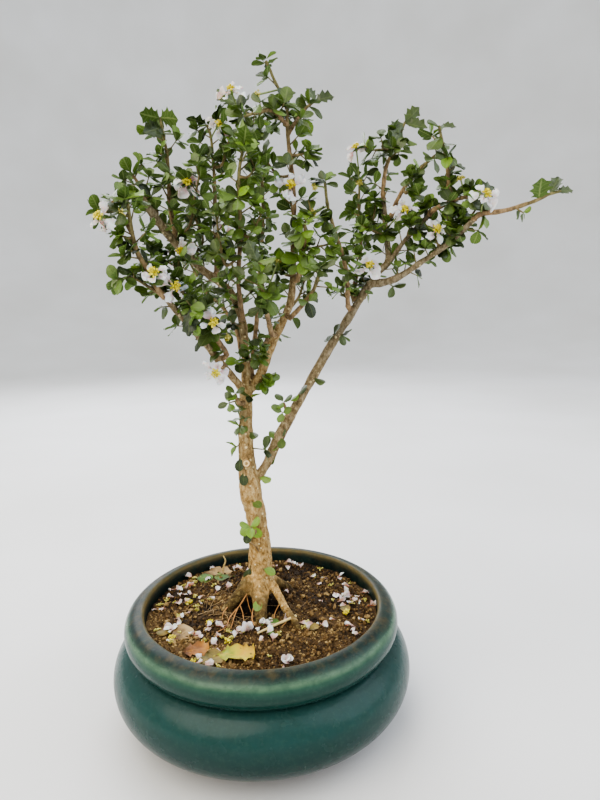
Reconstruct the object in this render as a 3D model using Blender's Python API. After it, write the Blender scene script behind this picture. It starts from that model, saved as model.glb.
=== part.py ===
# Dwarf holly bonsai in a round glazed pot, modelled in metres with +Z up.
# Every length below is in millimetres unless its comment says otherwise.
# The model is laid out round the pot's axis, then moved as a whole so that
# the origin lies under the middle of its bounding box, on the table.

import math

import bmesh
import bpy
import numpy as np
from mathutils import Vector
from mathutils.bvhtree import BVHTree

# Driving dimensions
MM = 0.001                     # one millimetre in metres
GAP = 0.3                      # clearance between touching pieces

# Pot
POT_RADIUS = 75.0              # widest point of the belly
BELLY_HEIGHT = 24.0            # where the belly is widest
BELLY_HALF_HEIGHT = 14.3
BELLY_ROLL = 13.3              # how far the belly's roll reaches outwards
RIM_RADIUS = 60.2              # centre of the rolled rim
RIM_HEIGHT = 48.2
RIM_ROLL = 8.4
LIP_RADIUS = 58.6              # inside of the mouth
FOOT_RADIUS = 52.0
FOOT_WIDTH = 6.5
FOOT_RECESS = 3.5              # underside of the floor above the table
FLOOR_THICKNESS = 5.5
WALL = 7.0
DRAIN_RADIUS = 7.0
POT_SEGMENTS = 32

# Drain screen
SCREEN_RADIUS = 13.0
SCREEN_THICKNESS = 1.2
SCREEN_CELL = 5.0              # opening of one mesh square
SCREEN_PITCH = 7.0

# Soil
SOIL_LEVEL = 49.6
SOIL_GRAIN = 0.7               # height of the coarse grit's relief
SOIL_RINGS = 4

# Leaves
BLADE_THICKNESS = 0.66
ROUND_LEAF = (7.2, 5.0)        # length and width of the small rounded leaf
HOLLY_LEAF = (13.5, 8.4)       # length and width of the spined leaf
SPUR_RADIUS = 0.62
CLEAR_LEAF = 2.1               # distance kept between blades of two nodes
CLEAR_WOOD = 1.2               # distance kept from a blade to other wood

# Flowers
PETAL_LENGTH = 7.6
PETAL_WIDTH = 6.4
CALYX_RADIUS = 1.15
CALYX_HEIGHT = 1.0
BOSS_RADIUS = 2.3
BOSS_HEIGHT = 2.2
PEDICEL_RADIUS = 0.6


# Scene and mesh helpers

def clear_scene():
    for obj in list(bpy.data.objects):
        bpy.data.objects.remove(obj)


def make_material(name, rgb, roughness):
    material = bpy.data.materials.new(name)
    material.use_nodes = True
    shader = material.node_tree.nodes["Principled BSDF"]
    shader.inputs["Base Color"].default_value = (*rgb, 1.0)
    shader.inputs["Roughness"].default_value = roughness
    material.diffuse_color = (*rgb, 1.0)
    return material


def make_object(name, verts, faces, material=None):
    mesh = bpy.data.meshes.new(name)
    mesh.from_pydata([tuple(v) for v in np.asarray(verts) * MM], [], faces)
    mesh.validate()
    if material:
        mesh.materials.append(material)
    obj = bpy.data.objects.new(name, mesh)
    bpy.context.scene.collection.objects.link(obj)
    return obj


def unit(vector):
    vector = np.asarray(vector, float)
    return vector / np.linalg.norm(vector)


def across(vector, axis):
    """The part of vector that is square to axis, as a unit vector."""
    axis = unit(axis)
    flat = np.asarray(vector, float) - np.dot(vector, axis) * axis
    if np.linalg.norm(flat) < 1e-6:
        flat = np.cross(axis, (0.3, 1.0, 0.2))
    return unit(flat)


def smooth_path(points, step):
    """Catmull-Rom curve through the points, sampled about every step."""
    points = np.asarray(points, float)
    if len(points) == 2:
        count = max(1, round(np.linalg.norm(points[1] - points[0]) / step))
        return points[0] + np.linspace(0, 1, count + 1)[:, None] * (points[1] - points[0])
    ends = np.vstack([2 * points[0] - points[1], points, 2 * points[-1] - points[-2]])
    out = [points[0]]
    for a, b, c, d in zip(ends, ends[1:], ends[2:], ends[3:]):
        count = max(1, round(np.linalg.norm(c - b) / step))
        for t in np.arange(1, count + 1) / count:
            out.append(0.5 * (2 * b + (c - a) * t + (2 * a - 5 * b + 4 * c - d) * t ** 2
                              + (3 * b - a - 3 * c + d) * t ** 3))
    return np.array(out)


def frames_along(path):
    """Tangent and two side vectors at each point, carried without twist."""
    tangents = np.gradient(path, axis=0)
    tangents /= np.linalg.norm(tangents, axis=1)[:, None]
    side = across((1.0, 0.2, 0.1), tangents[0])
    sides = []
    for tangent in tangents:
        side = across(side, tangent)
        sides.append(side)
    sides = np.array(sides)
    return tangents, sides, np.cross(tangents, sides)


def tube_mesh(path, radii, count):
    """Closed tube of count sides with flat ends."""
    tangents, sides, ups = frames_along(path)
    turn = np.linspace(0, 2 * math.pi, count, endpoint=False)
    rings = (path[:, None] + np.asarray(radii)[:, None, None]
             * (np.cos(turn)[None, :, None] * sides[:, None]
                + np.sin(turn)[None, :, None] * ups[:, None]))
    faces = []
    for ring in range(len(path) - 1):
        for i in range(count):
            j = (i + 1) % count
            a, b = ring * count, (ring + 1) * count
            faces.append((a + i, a + j, b + j, b + i))
    last = (len(path) - 1) * count
    faces.append(tuple(range(count))[::-1])
    faces.append(tuple(last + i for i in range(count)))
    return rings.reshape(-1, 3), faces


def turned_mesh(profile, segments):
    """Closed profile of (radius, height) points turned round the Z axis."""
    profile = np.asarray(profile, float)
    turn = np.linspace(0, 2 * math.pi, segments, endpoint=False)
    verts = np.stack([profile[None, :, 0] * np.cos(turn)[:, None],
                      profile[None, :, 0] * np.sin(turn)[:, None],
                      np.broadcast_to(profile[None, :, 1], (segments, len(profile)))], -1)
    count = len(profile)
    faces = []
    for s in range(segments):
        n = (s + 1) % segments
        for i in range(count):
            j = (i + 1) % count
            faces.append((s * count + i, n * count + i, n * count + j, s * count + j))
    return verts.reshape(-1, 3), faces


def arc(centre, radii, start, end, count):
    """Points on an ellipse from start to end degrees."""
    angles = np.radians(np.linspace(start, end, count))
    return [(centre[0] + radii[0] * math.cos(a), centre[1] + radii[1] * math.sin(a))
            for a in angles]


def apply_modifiers(obj):
    depsgraph = bpy.context.evaluated_depsgraph_get()
    mesh = bpy.data.meshes.new_from_object(obj.evaluated_get(depsgraph))
    obj.modifiers.clear()
    obj.data = mesh


def keep_largest_body(obj):
    """Drops loose scraps and merges doubled points."""
    bm = bmesh.new()
    bm.from_mesh(obj.data)
    bmesh.ops.remove_doubles(bm, verts=bm.verts, dist=1e-6)
    bmesh.ops.dissolve_degenerate(bm, edges=bm.edges, dist=1e-6)
    left = set(bm.verts)
    bodies = []
    while left:
        stack = [left.pop()]
        body = set(stack)
        while stack:
            for edge in stack.pop().link_edges:
                for vert in edge.verts:
                    if vert in left:
                        left.remove(vert)
                        body.add(vert)
                        stack.append(vert)
        bodies.append(body)
    bodies.sort(key=len)
    for body in bodies[:-1]:
        bmesh.ops.delete(bm, geom=list(body), context="VERTS")
    bmesh.ops.triangulate(bm, faces=bm.faces)
    bm.to_mesh(obj.data)
    bm.free()


def union(name, meshes, material):
    """One body from the first mesh and the rest, by one Boolean on a collection."""
    base = make_object(name, *meshes[0], material)
    if len(meshes) > 1:
        group = bpy.data.collections.new(name + "_parts")
        bpy.context.scene.collection.children.link(group)
        for verts, faces in meshes[1:]:
            part = make_object(name + "_part", verts, faces)
            bpy.context.scene.collection.objects.unlink(part)
            group.objects.link(part)
        boolean = base.modifiers.new("join", "BOOLEAN")
        boolean.operation = "UNION"
        boolean.operand_type = "COLLECTION"
        boolean.collection = group
        boolean.solver = "EXACT"
        apply_modifiers(base)
        for part in list(group.objects):
            bpy.data.objects.remove(part)
        bpy.data.collections.remove(group)
    keep_largest_body(base)
    base.data.materials.clear()
    base.data.materials.append(material)
    return base


def shade(obj, angle=35):
    obj.data.shade_smooth()
    obj.data.set_sharp_from_angle(angle=math.radians(angle))


# Pot, screen and soil

def pot_inner_profile(offset):
    """Inside of the pot from the floor to the mouth, moved inwards by offset."""
    floor = FOOT_RECESS + FLOOR_THICKNESS
    belly = arc((RIM_RADIUS, BELLY_HEIGHT), (POT_RADIUS - WALL - RIM_RADIUS - offset,
                                             BELLY_HALF_HEIGHT - 2.0), -60, 62, 4)
    return ([(FOOT_RADIUS - 6.0, floor + offset)] + belly
            + [(LIP_RADIUS - offset, RIM_HEIGHT - 6.0)])


def make_pot(material):
    floor = FOOT_RECESS + FLOOR_THICKNESS
    outer_belly = arc((POT_RADIUS - BELLY_ROLL, BELLY_HEIGHT), (BELLY_ROLL, BELLY_HALF_HEIGHT),
                      76, -78, 7)
    rim = arc((RIM_RADIUS, RIM_HEIGHT), (RIM_ROLL, RIM_ROLL), -62, 92, 6)
    inside = pot_inner_profile(0.0)
    profile = ([(DRAIN_RADIUS, floor)] + inside + [(LIP_RADIUS, RIM_HEIGHT + 5.6)]
               + rim[::-1] + outer_belly
               + [(FOOT_RADIUS + 1.5, BELLY_HEIGHT - BELLY_HALF_HEIGHT - 1.6), (FOOT_RADIUS, 0.0),
                  (FOOT_RADIUS - FOOT_WIDTH, 0.0), (FOOT_RADIUS - FOOT_WIDTH - 0.6, FOOT_RECESS),
                  (DRAIN_RADIUS, FOOT_RECESS)])
    verts, faces = turned_mesh(profile, POT_SEGMENTS)
    obj = make_object("pot", verts, faces, material)
    fix_normals(obj)
    shade(obj, 40)
    return obj


def fix_normals(obj):
    bm = bmesh.new()
    bm.from_mesh(obj.data)
    bmesh.ops.recalc_face_normals(bm, faces=bm.faces)
    bmesh.ops.triangulate(bm, faces=bm.faces)
    bm.to_mesh(obj.data)
    bm.free()


def box_mesh(low, high):
    x0, y0, z0 = low
    x1, y1, z1 = high
    verts = [(x0, y0, z0), (x1, y0, z0), (x1, y1, z0), (x0, y1, z0),
             (x0, y0, z1), (x1, y0, z1), (x1, y1, z1), (x0, y1, z1)]
    faces = [(0, 3, 2, 1), (4, 5, 6, 7), (0, 1, 5, 4), (1, 2, 6, 5), (2, 3, 7, 6), (3, 0, 4, 7)]
    return np.array(verts, float), faces


def cylinder_mesh(centre, radius, low, high, count):
    turn = np.linspace(0, 2 * math.pi, count, endpoint=False)
    ring = np.stack([centre[0] + radius * np.cos(turn), centre[1] + radius * np.sin(turn)], -1)
    verts = np.vstack([np.c_[ring, np.full(count, low)], np.c_[ring, np.full(count, high)]])
    faces = [(i, (i + 1) % count, count + (i + 1) % count, count + i) for i in range(count)]
    faces += [tuple(range(count))[::-1], tuple(range(count, 2 * count))]
    return verts, faces


def cut(obj, meshes):
    """Cuts closed meshes out of an object by one Boolean on a collection."""
    group = bpy.data.collections.new("cutters")
    bpy.context.scene.collection.children.link(group)
    for verts, faces in meshes:
        part = make_object("cutter", verts, faces)
        bpy.context.scene.collection.objects.unlink(part)
        group.objects.link(part)
    boolean = obj.modifiers.new("cut", "BOOLEAN")
    boolean.operation = "DIFFERENCE"
    boolean.operand_type = "COLLECTION"
    boolean.collection = group
    boolean.solver = "EXACT"
    apply_modifiers(obj)
    for part in list(group.objects):
        bpy.data.objects.remove(part)
    bpy.data.collections.remove(group)
    keep_largest_body(obj)


def make_screen(material):
    low = FOOT_RECESS + FLOOR_THICKNESS + GAP
    obj = make_object("drain_screen",
                      *cylinder_mesh((0, 0), SCREEN_RADIUS, low, low + SCREEN_THICKNESS, 16),
                      material)
    half = SCREEN_CELL / 2
    cells = [box_mesh((i * SCREEN_PITCH - half, j * SCREEN_PITCH - half, low - 1),
                      (i * SCREEN_PITCH + half, j * SCREEN_PITCH + half, low + 3))
             for i in (-0.5, 0.5) for j in (-0.5, 0.5)]
    cut(obj, cells)
    return obj


def soil_height(x, y):
    """Level of the grit: a low mound at the tree and a coarse uneven grain."""
    r = np.hypot(x, y)
    mound = 1.6 * np.exp(-((x + 1) ** 2 + (y - 4) ** 2) / (2 * 17.0 ** 2))
    grain = (np.sin(0.55 * x + 1.3) * np.cos(0.47 * y - 0.4) + 0.6 * np.sin(0.31 * x - 0.9 * y)
             + 0.5 * np.cos(1.1 * x + 0.6 * y))
    edge = np.clip((LIP_RADIUS - r) / 8.0, 0, 1)
    return SOIL_LEVEL + mound * edge + SOIL_GRAIN * 0.5 * grain * edge


def make_soil(material, roots):
    """Body of grit under a relief surface, with a hole that fits each root."""
    wall = pot_inner_profile(GAP + 0.1)
    rings = np.linspace(LIP_RADIUS - GAP - 0.1, 0, SOIL_RINGS + 1)[:-1]
    turn = np.linspace(0, 2 * math.pi, POT_SEGMENTS, endpoint=False)
    screen_top = FOOT_RECESS + FLOOR_THICKNESS + SCREEN_THICKNESS + 2 * GAP
    recess = SCREEN_RADIUS + GAP
    side = [(recess, screen_top), (recess, wall[0][1])] + wall
    verts = [(0.0, 0.0, screen_top)]
    for r, z in side:
        verts += [(r * math.cos(a), r * math.sin(a), z) for a in turn]
    for r in rings:
        for a in turn:
            x, y = r * math.cos(a), r * math.sin(a)
            verts.append((x, y, float(soil_height(x, y))))
    verts.append((0.0, 0.0, float(soil_height(0.0, 0.0))))
    levels = len(side) + len(rings)
    faces = [(0, 1 + (i + 1) % POT_SEGMENTS, 1 + i) for i in range(POT_SEGMENTS)]
    for level in range(levels - 1):
        a = 1 + level * POT_SEGMENTS
        b = a + POT_SEGMENTS
        for i in range(POT_SEGMENTS):
            j = (i + 1) % POT_SEGMENTS
            faces.append((a + i, a + j, b + j, b + i))
    top = len(verts) - 1
    a = 1 + (levels - 1) * POT_SEGMENTS
    faces += [(a + i, a + (i + 1) % POT_SEGMENTS, top) for i in range(POT_SEGMENTS)]
    obj = make_object("soil", np.array(verts), faces, material)
    fix_normals(obj)
    cut(obj, [root_tube(root, ROOT_CLEARANCE) for root in roots])
    shade(obj, 50)
    return obj


# Wood: each branch is (key points, first radius, last radius, sides)

ROOT_CLEARANCE = 0.5           # the soil's holes are wider than the roots by this
ROOT_SIDES = 6
TRUNK_SIDES = 9
TRUNK_STEP = 9.0               # distance between rings along the trunk
ROOT_STEP = 7.0
LIMB_STEP = 11.0

TRUNK = [(-1, 8, 56), (-1, 8, 66), (-1, 8, 80), (-2, 7, 96), (-4, 6, 111), (-5, 6, 125),
         (-6, 7, 143), (-5, 8, 165)]
TRUNK_RADII = [5.8, 5.2, 4.9, 4.6, 4.4, 3.9, 3.0, 3.2]

BIG_ROOTS = {
    "left": ([(-3, 7, 63), (-9, 4, 58), (-15, 1, 54), (-19, -1, 50), (-20, -1, 43)], 2.6, 1.9),
    "middle": ([(-1, 6, 64), (-1, 0, 58), (-1, -7, 54), (0, -13, 50), (0, -14, 43)], 3.4, 2.2),
    "right": ([(2, 7, 63), (7, 1, 58), (12, -9, 54), (17, -19, 50.5), (18, -21, 43)], 2.3, 1.6),
    "back_left": ([(-3, 10, 62), (-8, 16, 57), (-12, 21, 51), (-13, 23, 43)], 2.6, 1.8),
    "back_right": ([(2, 10, 62), (9, 14, 57), (15, 18, 51), (17, 19, 43)], 2.6, 1.8),
}

LIMBS = {
    "right_limb": ([(-3, 6, 116), (4, 8, 125), (13, 12, 142), (25, 16, 161), (38, 20, 182),
                    (50, 22, 200), (59, 22, 214)], 2.8, 2.0, 7),
    "right_arm": ([(58, 22, 213), (71, 18, 216), (84, 10, 225), (93, 2, 232), (102, -6, 242)],
                  1.9, 1.2, 6),
    "right_rise": ([(59, 22, 213), (64, 23, 220), (69, 25, 226), (68, 28, 241), (68, 34, 257)],
                   1.9, 1.2, 6),
    "right_reach": ([(69, 24, 224), (76, 18, 235), (85, 8, 246)], 1.3, 1.0, 5),
    "left_limb": ([(-5, 8, 161), (-11, 2, 170), (-16, -6, 178), (-22, -12, 187),
                   (-30, -18, 198), (-38, -24, 209)], 2.1, 1.3, 6),
    "stub_limb": ([(-5, 8, 163), (-5, 12, 182), (-7, 14, 201), (-13, 12, 212), (-25, 8, 222),
                   (-37, 2, 235), (-45, -6, 247), (-51, -12, 255)], 2.3, 1.7, 6),
    "leader": ([(-5, 8, 162), (1, 9, 168), (8, 8, 185), (16, 4, 202), (18, 2, 211),
                (19, 0, 234)], 2.4, 1.4, 6),
}

BOSSES_ON_TRUNK = [((-8.2, 5.0, 126.5), 2.6)]     # pruned knob with its cut face


def trunk_mesh():
    path, radii = limb_path("trunk")
    return tube_mesh(path, radii, TRUNK_SIDES)


def root_tube(root, extra=0.0):
    """A root, or with extra the wider and longer hole that it stands in."""
    points, first, last = root
    path = smooth_path(points, ROOT_STEP)
    radii = np.linspace(first, last, len(path)) + extra
    path[-1] += extra * unit(path[-1] - path[-2])
    return tube_mesh(path, radii, ROOT_SIDES)


def make_tree(material, stalks):
    """Roots, trunk, knob and woody limbs, grown together as one body."""
    meshes = [trunk_mesh()] + [root_tube(root) for root in BIG_ROOTS.values()] + stalks
    for name, limb in LIMBS.items():
        meshes.append(tube_mesh(*limb_path(name), limb[3]))
    for (x, y, z), radius in BOSSES_ON_TRUNK:
        path = np.array([(x + 4, y + 1, z - 1), (x + 1, y, z), (x - 1.0, y - 0.6, z + 0.6)])
        meshes.append(tube_mesh(path, [radius, radius, radius * 0.8], 7))
    obj = union("tree", meshes, material)
    shade(obj, 50)
    return obj


# Leafy stems. Each is its own node: a thin shoot, its side shoots and short spurs,
# and the leaves on them. "on" names the limb it grows from; a stem that goes on from
# the limb's tip starts face to face with it, any other starts on the limb's side.

SPUR_PITCH = 20.6              # distance between spurs along a shoot
SPUR_LENGTH = (3.5, 8.0)
LEAVES_PER_SPUR = 3
LEAF_SPREAD = 58.0             # degrees between a spur and its leaves

STEMS = {
    "arm_tip": dict(on="right_arm", tip=True, holly=3, shoots=[
        [(114, -12, 246), (126, -16, 249), (135, -18, 253)]]),
    "rise_tip": dict(on="right_rise", tip=True, holly=3, shoots=[
        [(70, 38, 273), (76, 40, 284), (82, 42, 294)]]),
    "reach_tip": dict(on="right_reach", tip=True, holly=2, shoots=[
        [(94, 0, 254), (101, -6, 260)],
        [(92, 1, 252), (89, -4, 266), (85, -8, 276), (83, -10, 281)]]),
    "inner": dict(on="right_rise", tip=False, holly=1, shoots=[
        [(69, 30, 246), (75, 22, 259), (82, 16, 268), (90, 10, 275)]]),
    "upright": dict(on="right_limb", tip=False, holly=1, shoots=[
        [(50, 22, 201), (45, 10, 220), (39, 0, 235), (34, -8, 247), (32, -14, 257)]]),
    "back_upright": dict(on="right_limb", tip=False, holly=2, shoots=[
        [(54, 23, 206), (57, 36, 236), (57, 44, 255), (58, 48, 274)]]),
    "left_low": dict(on="left_limb", tip=True, holly=2, shoots=[
        [(-43, -30, 219), (-46, -35, 227), (-47, -39, 236), (-47, -43, 245)],
        [(-47, -38, 234), (-54, -36, 245), (-58, -34, 252)]]),
    "left_under": dict(on="left_limb", tip=False, holly=1, shoots=[
        [(-17, -7, 180), (-19, -13, 191), (-23, -22, 200), (-30, -32, 204)]]),
    "left_top": dict(on="stub_limb", tip=False, holly=3, shoots=[
        [(-37, 2, 235), (-38, 10, 251), (-39, 18, 272), (-42, 22, 288)]]),
    "left_mid": dict(on="stub_limb", tip=False, holly=1, shoots=[
        [(-43, -4, 244), (-46, -2, 256), (-49, 2, 267), (-51, 4, 275)]]),
    "crown_left": dict(on="stub_limb", tip=False, holly=2, shoots=[
        [(-20, 11, 217), (-18, 20, 236), (-19, 28, 265), (-22, 32, 285), (-25, 34, 293)]]),
    "front_mid": dict(on="stub_limb", tip=False, holly=1, shoots=[
        [(-7, 14, 198), (-7, 0, 216), (-5, -16, 237), (-5, -26, 256), (-3, -28, 267)]]),
    "crown": dict(on="leader", tip=False, holly=2, shoots=[
        [(1, 10, 168), (1, 24, 196), (4, 38, 227), (6, 44, 258), (3, 40, 282), (-8, 26, 299)]]),
    "leader_tip": dict(on="leader", tip=True, holly=0, shoots=[
        [(19, -2, 256), (17, -4, 276), (16, -5, 291), (12, -5, 299), (8, -5, 308)],
        [(18, -3, 268), (25, 6, 284), (31, 12, 293), (36, 16, 299)],
        [(17, -4, 282), (10, -12, 286), (4, -18, 284), (-2, -22, 281)]]),
    "mid_right": dict(on="leader", tip=False, holly=2, shoots=[
        [(17, 4, 199), (22, -6, 203), (27, -16, 210), (29, -24, 216)]]),
    "mid_front": dict(on="leader", tip=False, holly=1, shoots=[
        [(19, 1, 216), (22, -6, 223), (23, -12, 231), (23, -16, 240)]]),
    "back_right": dict(on="leader", tip=False, holly=1, shoots=[
        [(4, 9, 174), (6, 24, 186), (14, 40, 196), (25, 52, 208), (31, 60, 227)]]),
    "back_left": dict(on="stub_limb", tip=False, holly=1, shoots=[
        [(-5, 12, 181), (-10, 26, 193), (-18, 40, 204), (-27, 52, 212), (-35, 60, 227)]]),
    "front_low": dict(on="leader", tip=False, holly=1, shoots=[
        [(11, 7, 190), (6, -8, 199), (4, -22, 211), (2, -32, 222)]]),
    "trunk_leaves": dict(on="trunk", tip=False, holly=0, pitch=5.0, shoots=[
        [(-3, 6, 92), (-5, -2, 94), (-7, -5, 98)]]),
    "limb_leaves": dict(on="right_limb", tip=False, holly=0, pitch=6.0, shoots=[
        [(17, 13, 147), (15, 6, 151), (13, 2, 157)]]),
    "fork_leaves": dict(on="trunk", tip=False, holly=0, pitch=5.0, shoots=[
        [(-6, 7, 157), (-9, 0, 158), (-10, -5, 163)]]),
}
STEM_RADII = (1.15, 0.6)
STEM_SIDES = 4
STEM_STEP = 14.0

# Open flowers: centre, the way it faces, and the limb or stem that carries it
FLOWERS = [
    ((-28, 5, 260), (0.3, -0.7, 0.6), "left_top"),
    ((-57, -44, 239), (-0.6, -0.7, 0.3), "left_low"),
    ((-32, -7, 228), (0.1, -0.9, 0.4), "stub_limb"),
    ((-33, -30, 213), (0.6, -0.7, 0.1), "left_limb"),
    ((-38, -45, 218), (-0.1, -0.9, 0.4), "left_low"),
    ((-8, 18, 303), (-0.2, -0.5, 0.8), "crown"),
    ((-15, 23, 289), (0.5, -0.7, 0.4), "crown_left"),
    ((17, -10, 256), (0.1, -0.9, 0.4), "leader_tip"),
    ((-18, -14, 175), (-0.1, -0.9, -0.2), "left_limb"),
    ((-18, -28, 198), (0.4, -0.8, 0.1), "left_under"),
    ((-12, 13, 243), (0.5, -0.7, 0.4), "crown_left"),
    ((55, 42, 283), (-0.3, -0.5, 0.7), "back_upright"),
    ((57, 13, 222), (-0.1, -0.8, 0.5), "right_rise"),
    ((73, 12, 248), (0.4, -0.7, 0.5), "right_rise"),
    ((103, -16, 251), (0.1, -0.8, 0.5), "arm_tip"),
    ((86, 0, 238), (0.2, -0.9, 0.2), "right_reach"),
]

# Spent flowers: only the yellow boss is left, grown on its stalk as part of the stem
SPENT = [((-16, 16, 231), "crown_left"), ((11, -6, 223), "front_low"), ((4, -17, 291), "leader_tip"),
         ((-13, -16, 191), "left_under"), ((28, -15, 255), "upright"), ((28, -10, 245), "upright"),
         ((57, 43, 266), "back_upright"), ((61, 38, 250), "back_upright"),
         ((95, -6, 259), "reach_tip"), ((-49, -44, 241), "left_low")]
SPENT_RADIUS = 1.3
SPENT_HEIGHT = 1.8


# A blade's half outline, from the base to short of the tip, as (place along the blade,
# half width, lift) of unit size, and the places of its midrib points.
ROUND_BLADE = dict(outline=[(0.40, 0.46, 0.05), (0.84, 0.40, 0.03)], ribs=[0.56])
HOLLY_BLADE = dict(outline=[(0.22, 0.42, 0.10), (0.34, 0.24, 0.02), (0.52, 0.50, -0.02),
                            (0.62, 0.25, 0.04), (0.78, 0.38, 0.10)], ribs=[0.30, 0.62])
# An open flower's petal, as (place, half width to the left, half width to the right)
PETAL = dict(stations=[(0.30, 0.10, 0.10), (0.62, 0.47, 0.45), (0.98, 0.34, 0.27)], middle=0.68)


def half_blade(edge, ribs):
    """Zips the outline of half a blade to its midrib."""
    count = len(edge) - 1
    switch = [round(count * (k + 1) / len(ribs)) for k in range(len(ribs) - 1)]
    faces = []
    rib = 0
    for i in range(count):
        faces.append((ribs[rib], edge[i], edge[i + 1]))
        if i + 1 in switch:
            faces.append((ribs[rib], edge[i + 1], ribs[rib + 1]))
            rib += 1
    return faces


def blade_points(base, axis, normal, size, kind, droop):
    """Upper face of a leaf blade without its base: outline, then midrib points."""
    length, width = size
    side = np.cross(normal, axis)

    def place(t, across_blade, lift):
        sag = -droop * length * t * t
        return (base + axis * t * length + side * across_blade * width
                + normal * (lift * length + sag))

    left = [place(t, w, lift) for t, w, lift in kind["outline"]]
    right = [place(t, -w, lift) for t, w, lift in kind["outline"][::-1]]
    ribs = [place(t, 0.0, -0.05) for t in kind["ribs"]]
    return left + [place(1.0, 0.0, 0.02)] + right, ribs


def petal_points(base, axis, normal, size, crumple):
    """Upper face of a petal: a narrow claw, then a broad crumpled blade."""
    length, width = size
    side = np.cross(normal, axis)

    def place(t, across_blade, lift):
        return (base + axis * t * length + side * across_blade * width
                + normal * (lift - 0.12 * length * t * t))

    stations = PETAL["stations"]
    left = [place(t, w, crumple[i] * (i > 0)) for i, (t, w, v) in enumerate(stations)]
    right = [place(t, -v, crumple[i + 2] * (i > 0)) for i, (t, w, v) in enumerate(stations)]
    return left + right[::-1], [place(PETAL["middle"], 0.0, crumple[0])]


class Body:
    """Points and faces of one closed mesh that is put together piece by piece."""

    def __init__(self):
        self.verts = []
        self.faces = []

    def add(self, points):
        first = len(self.verts)
        self.verts += [np.asarray(p, float) for p in points]
        return list(range(first, len(self.verts)))

    def grow_blade(self, ring, outline, ribs, normal):
        """Grows a blade out of a four-sided opening.

        ring holds the opening's upper left, upper right, lower right and lower left
        points. The under face repeats the upper one, so the two never cross.
        """
        upper_left, upper_right, lower_right, lower_left = ring
        thickness = normal * BLADE_THICKNESS
        top = self.add(outline)
        under = self.add([p - thickness for p in outline])
        rib_top = self.add(ribs)
        rib_under = self.add([p - thickness for p in ribs])
        sides = ((upper_left, upper_right, top, rib_top, False),
                 (lower_left, lower_right, under, rib_under, True))
        for left, right, edge, rib, under_side in sides:
            half = (len(edge) + 1) // 2
            if len(rib) > 1:
                faces = half_blade([left] + edge[:half], rib)
                faces += [f[::-1] for f in half_blade([right] + edge[::-1][:half], rib)]
            else:
                loop = [left] + edge + [right]
                faces = [(rib[0], a, b) for a, b in zip(loop, loop[1:])]
            faces.append((left, rib[0], right))
            self.faces += faces if under_side else [f[::-1] for f in faces]
        upper = [upper_left] + top + [upper_right]
        lower = [lower_left] + under + [lower_right]
        for a, b, c, d in zip(upper, upper[1:], lower, lower[1:]):
            self.faces += [(a, d, c), (a, b, d)]

    def arrays(self):
        return np.array(self.verts), self.faces


def hub_rings(centre, along, radius, height, count, phase):
    """Lower and upper ring of a many-sided hub round the direction along."""
    u = across((0.0, 0.2, 1.0), along)
    v = np.cross(along, u)
    turn = phase + np.arange(count) * 2 * math.pi / count
    ring = radius * (np.cos(turn)[:, None] * u + np.sin(turn)[:, None] * v)
    lower = centre + ring - along * height / 2
    middles = turn + math.pi / count
    outward = np.cos(middles)[:, None] * u + np.sin(middles)[:, None] * v
    return lower, lower + along * height, outward


def rosette(start, end, radius, count, phase, grow):
    """A short spur whose end is a hub with one blade, or none, on each of its sides.

    grow(k, base, outward) gives the outline, midrib and normal of blade k, or None.
    """
    along = unit(end - start)
    lower, upper, outward = hub_rings(end, along, radius, BLADE_THICKNESS, count, phase)
    body = Body()
    foot = body.add(start + (lower - lower.mean(axis=0)))
    low = body.add(lower)
    high = body.add(upper)
    body.faces += [tuple(foot[::-1]), tuple(high)]
    for k in range(count):
        n = (k + 1) % count
        body.faces.append((foot[k], foot[n], low[n], low[k]))
        base = (upper[k] + upper[n]) / 2
        blade = grow(k, base, outward[k])
        if blade is None:
            body.faces.append((low[k], low[n], high[n], high[k]))
        else:
            outline, ribs, normal = blade
            body.grow_blade((high[n], high[k], low[k], low[n]), outline, ribs, normal)
    return body.arrays()


def blade_samples(base, axis, normal, size, droop):
    """Points spread over a blade, for keeping blades of two nodes apart."""
    length, width = size
    side = np.cross(normal, axis)
    t = np.linspace(0.2, 1.0, max(4, int(length / 1.4)))
    s = np.linspace(-0.5, 0.5, max(4, int(width / 1.5)))
    t, s = [g.ravel() for g in np.meshgrid(t, s)]
    return (np.asarray(base) + np.outer(t * length, axis) + np.outer(s * width, side)
            + np.outer(-droop * length * t * t, normal))


class Clearance:
    """Keeps what has been placed, and says whether new points are clear of it."""

    def __init__(self):
        self.wood = []
        self.points = np.zeros((0, 3))
        self.owners = np.zeros(0, int)
        self.names = {}

    def number(self, owner):
        return self.names.setdefault(owner, len(self.names))

    def add_wood(self, path, radii, owner):
        for a, b, r in zip(path, path[1:], radii):
            self.wood.append((a, b, float(r), self.number(owner)))

    def add_points(self, points, owner):
        self.points = np.vstack([self.points, points])
        self.owners = np.append(self.owners, np.full(len(points), self.number(owner)))

    def clear(self, points, owner, leaf_gap=CLEAR_LEAF, wood_gap=CLEAR_WOOD):
        own = self.number(owner)
        others = self.points[self.owners != own]
        if len(others):
            near = np.linalg.norm(points[:, None] - others[None], axis=2).min()
            if near < leaf_gap:
                return False
        rows = [w for w in self.wood if w[3] != own]
        a = np.array([w[0] for w in rows])
        b = np.array([w[1] for w in rows])
        r = np.array([w[2] for w in rows])
        ab = b - a
        t = np.einsum("psk,sk->ps", points[:, None] - a[None], ab) / (ab ** 2).sum(1)
        t = np.clip(t, 0, 1)
        nearest = a[None] + t[..., None] * ab[None]
        return bool((np.linalg.norm(points[:, None] - nearest, axis=2) - r > wood_gap).all())


def limb_path(name):
    if name == "trunk":
        path = smooth_path(TRUNK, TRUNK_STEP)
        return path, np.interp(path[:, 2], [p[2] for p in TRUNK], TRUNK_RADII)
    points, first, last = LIMBS[name][:3]
    path = smooth_path(points, LIMB_STEP)
    return path, np.linspace(first, last, len(path))


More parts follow.
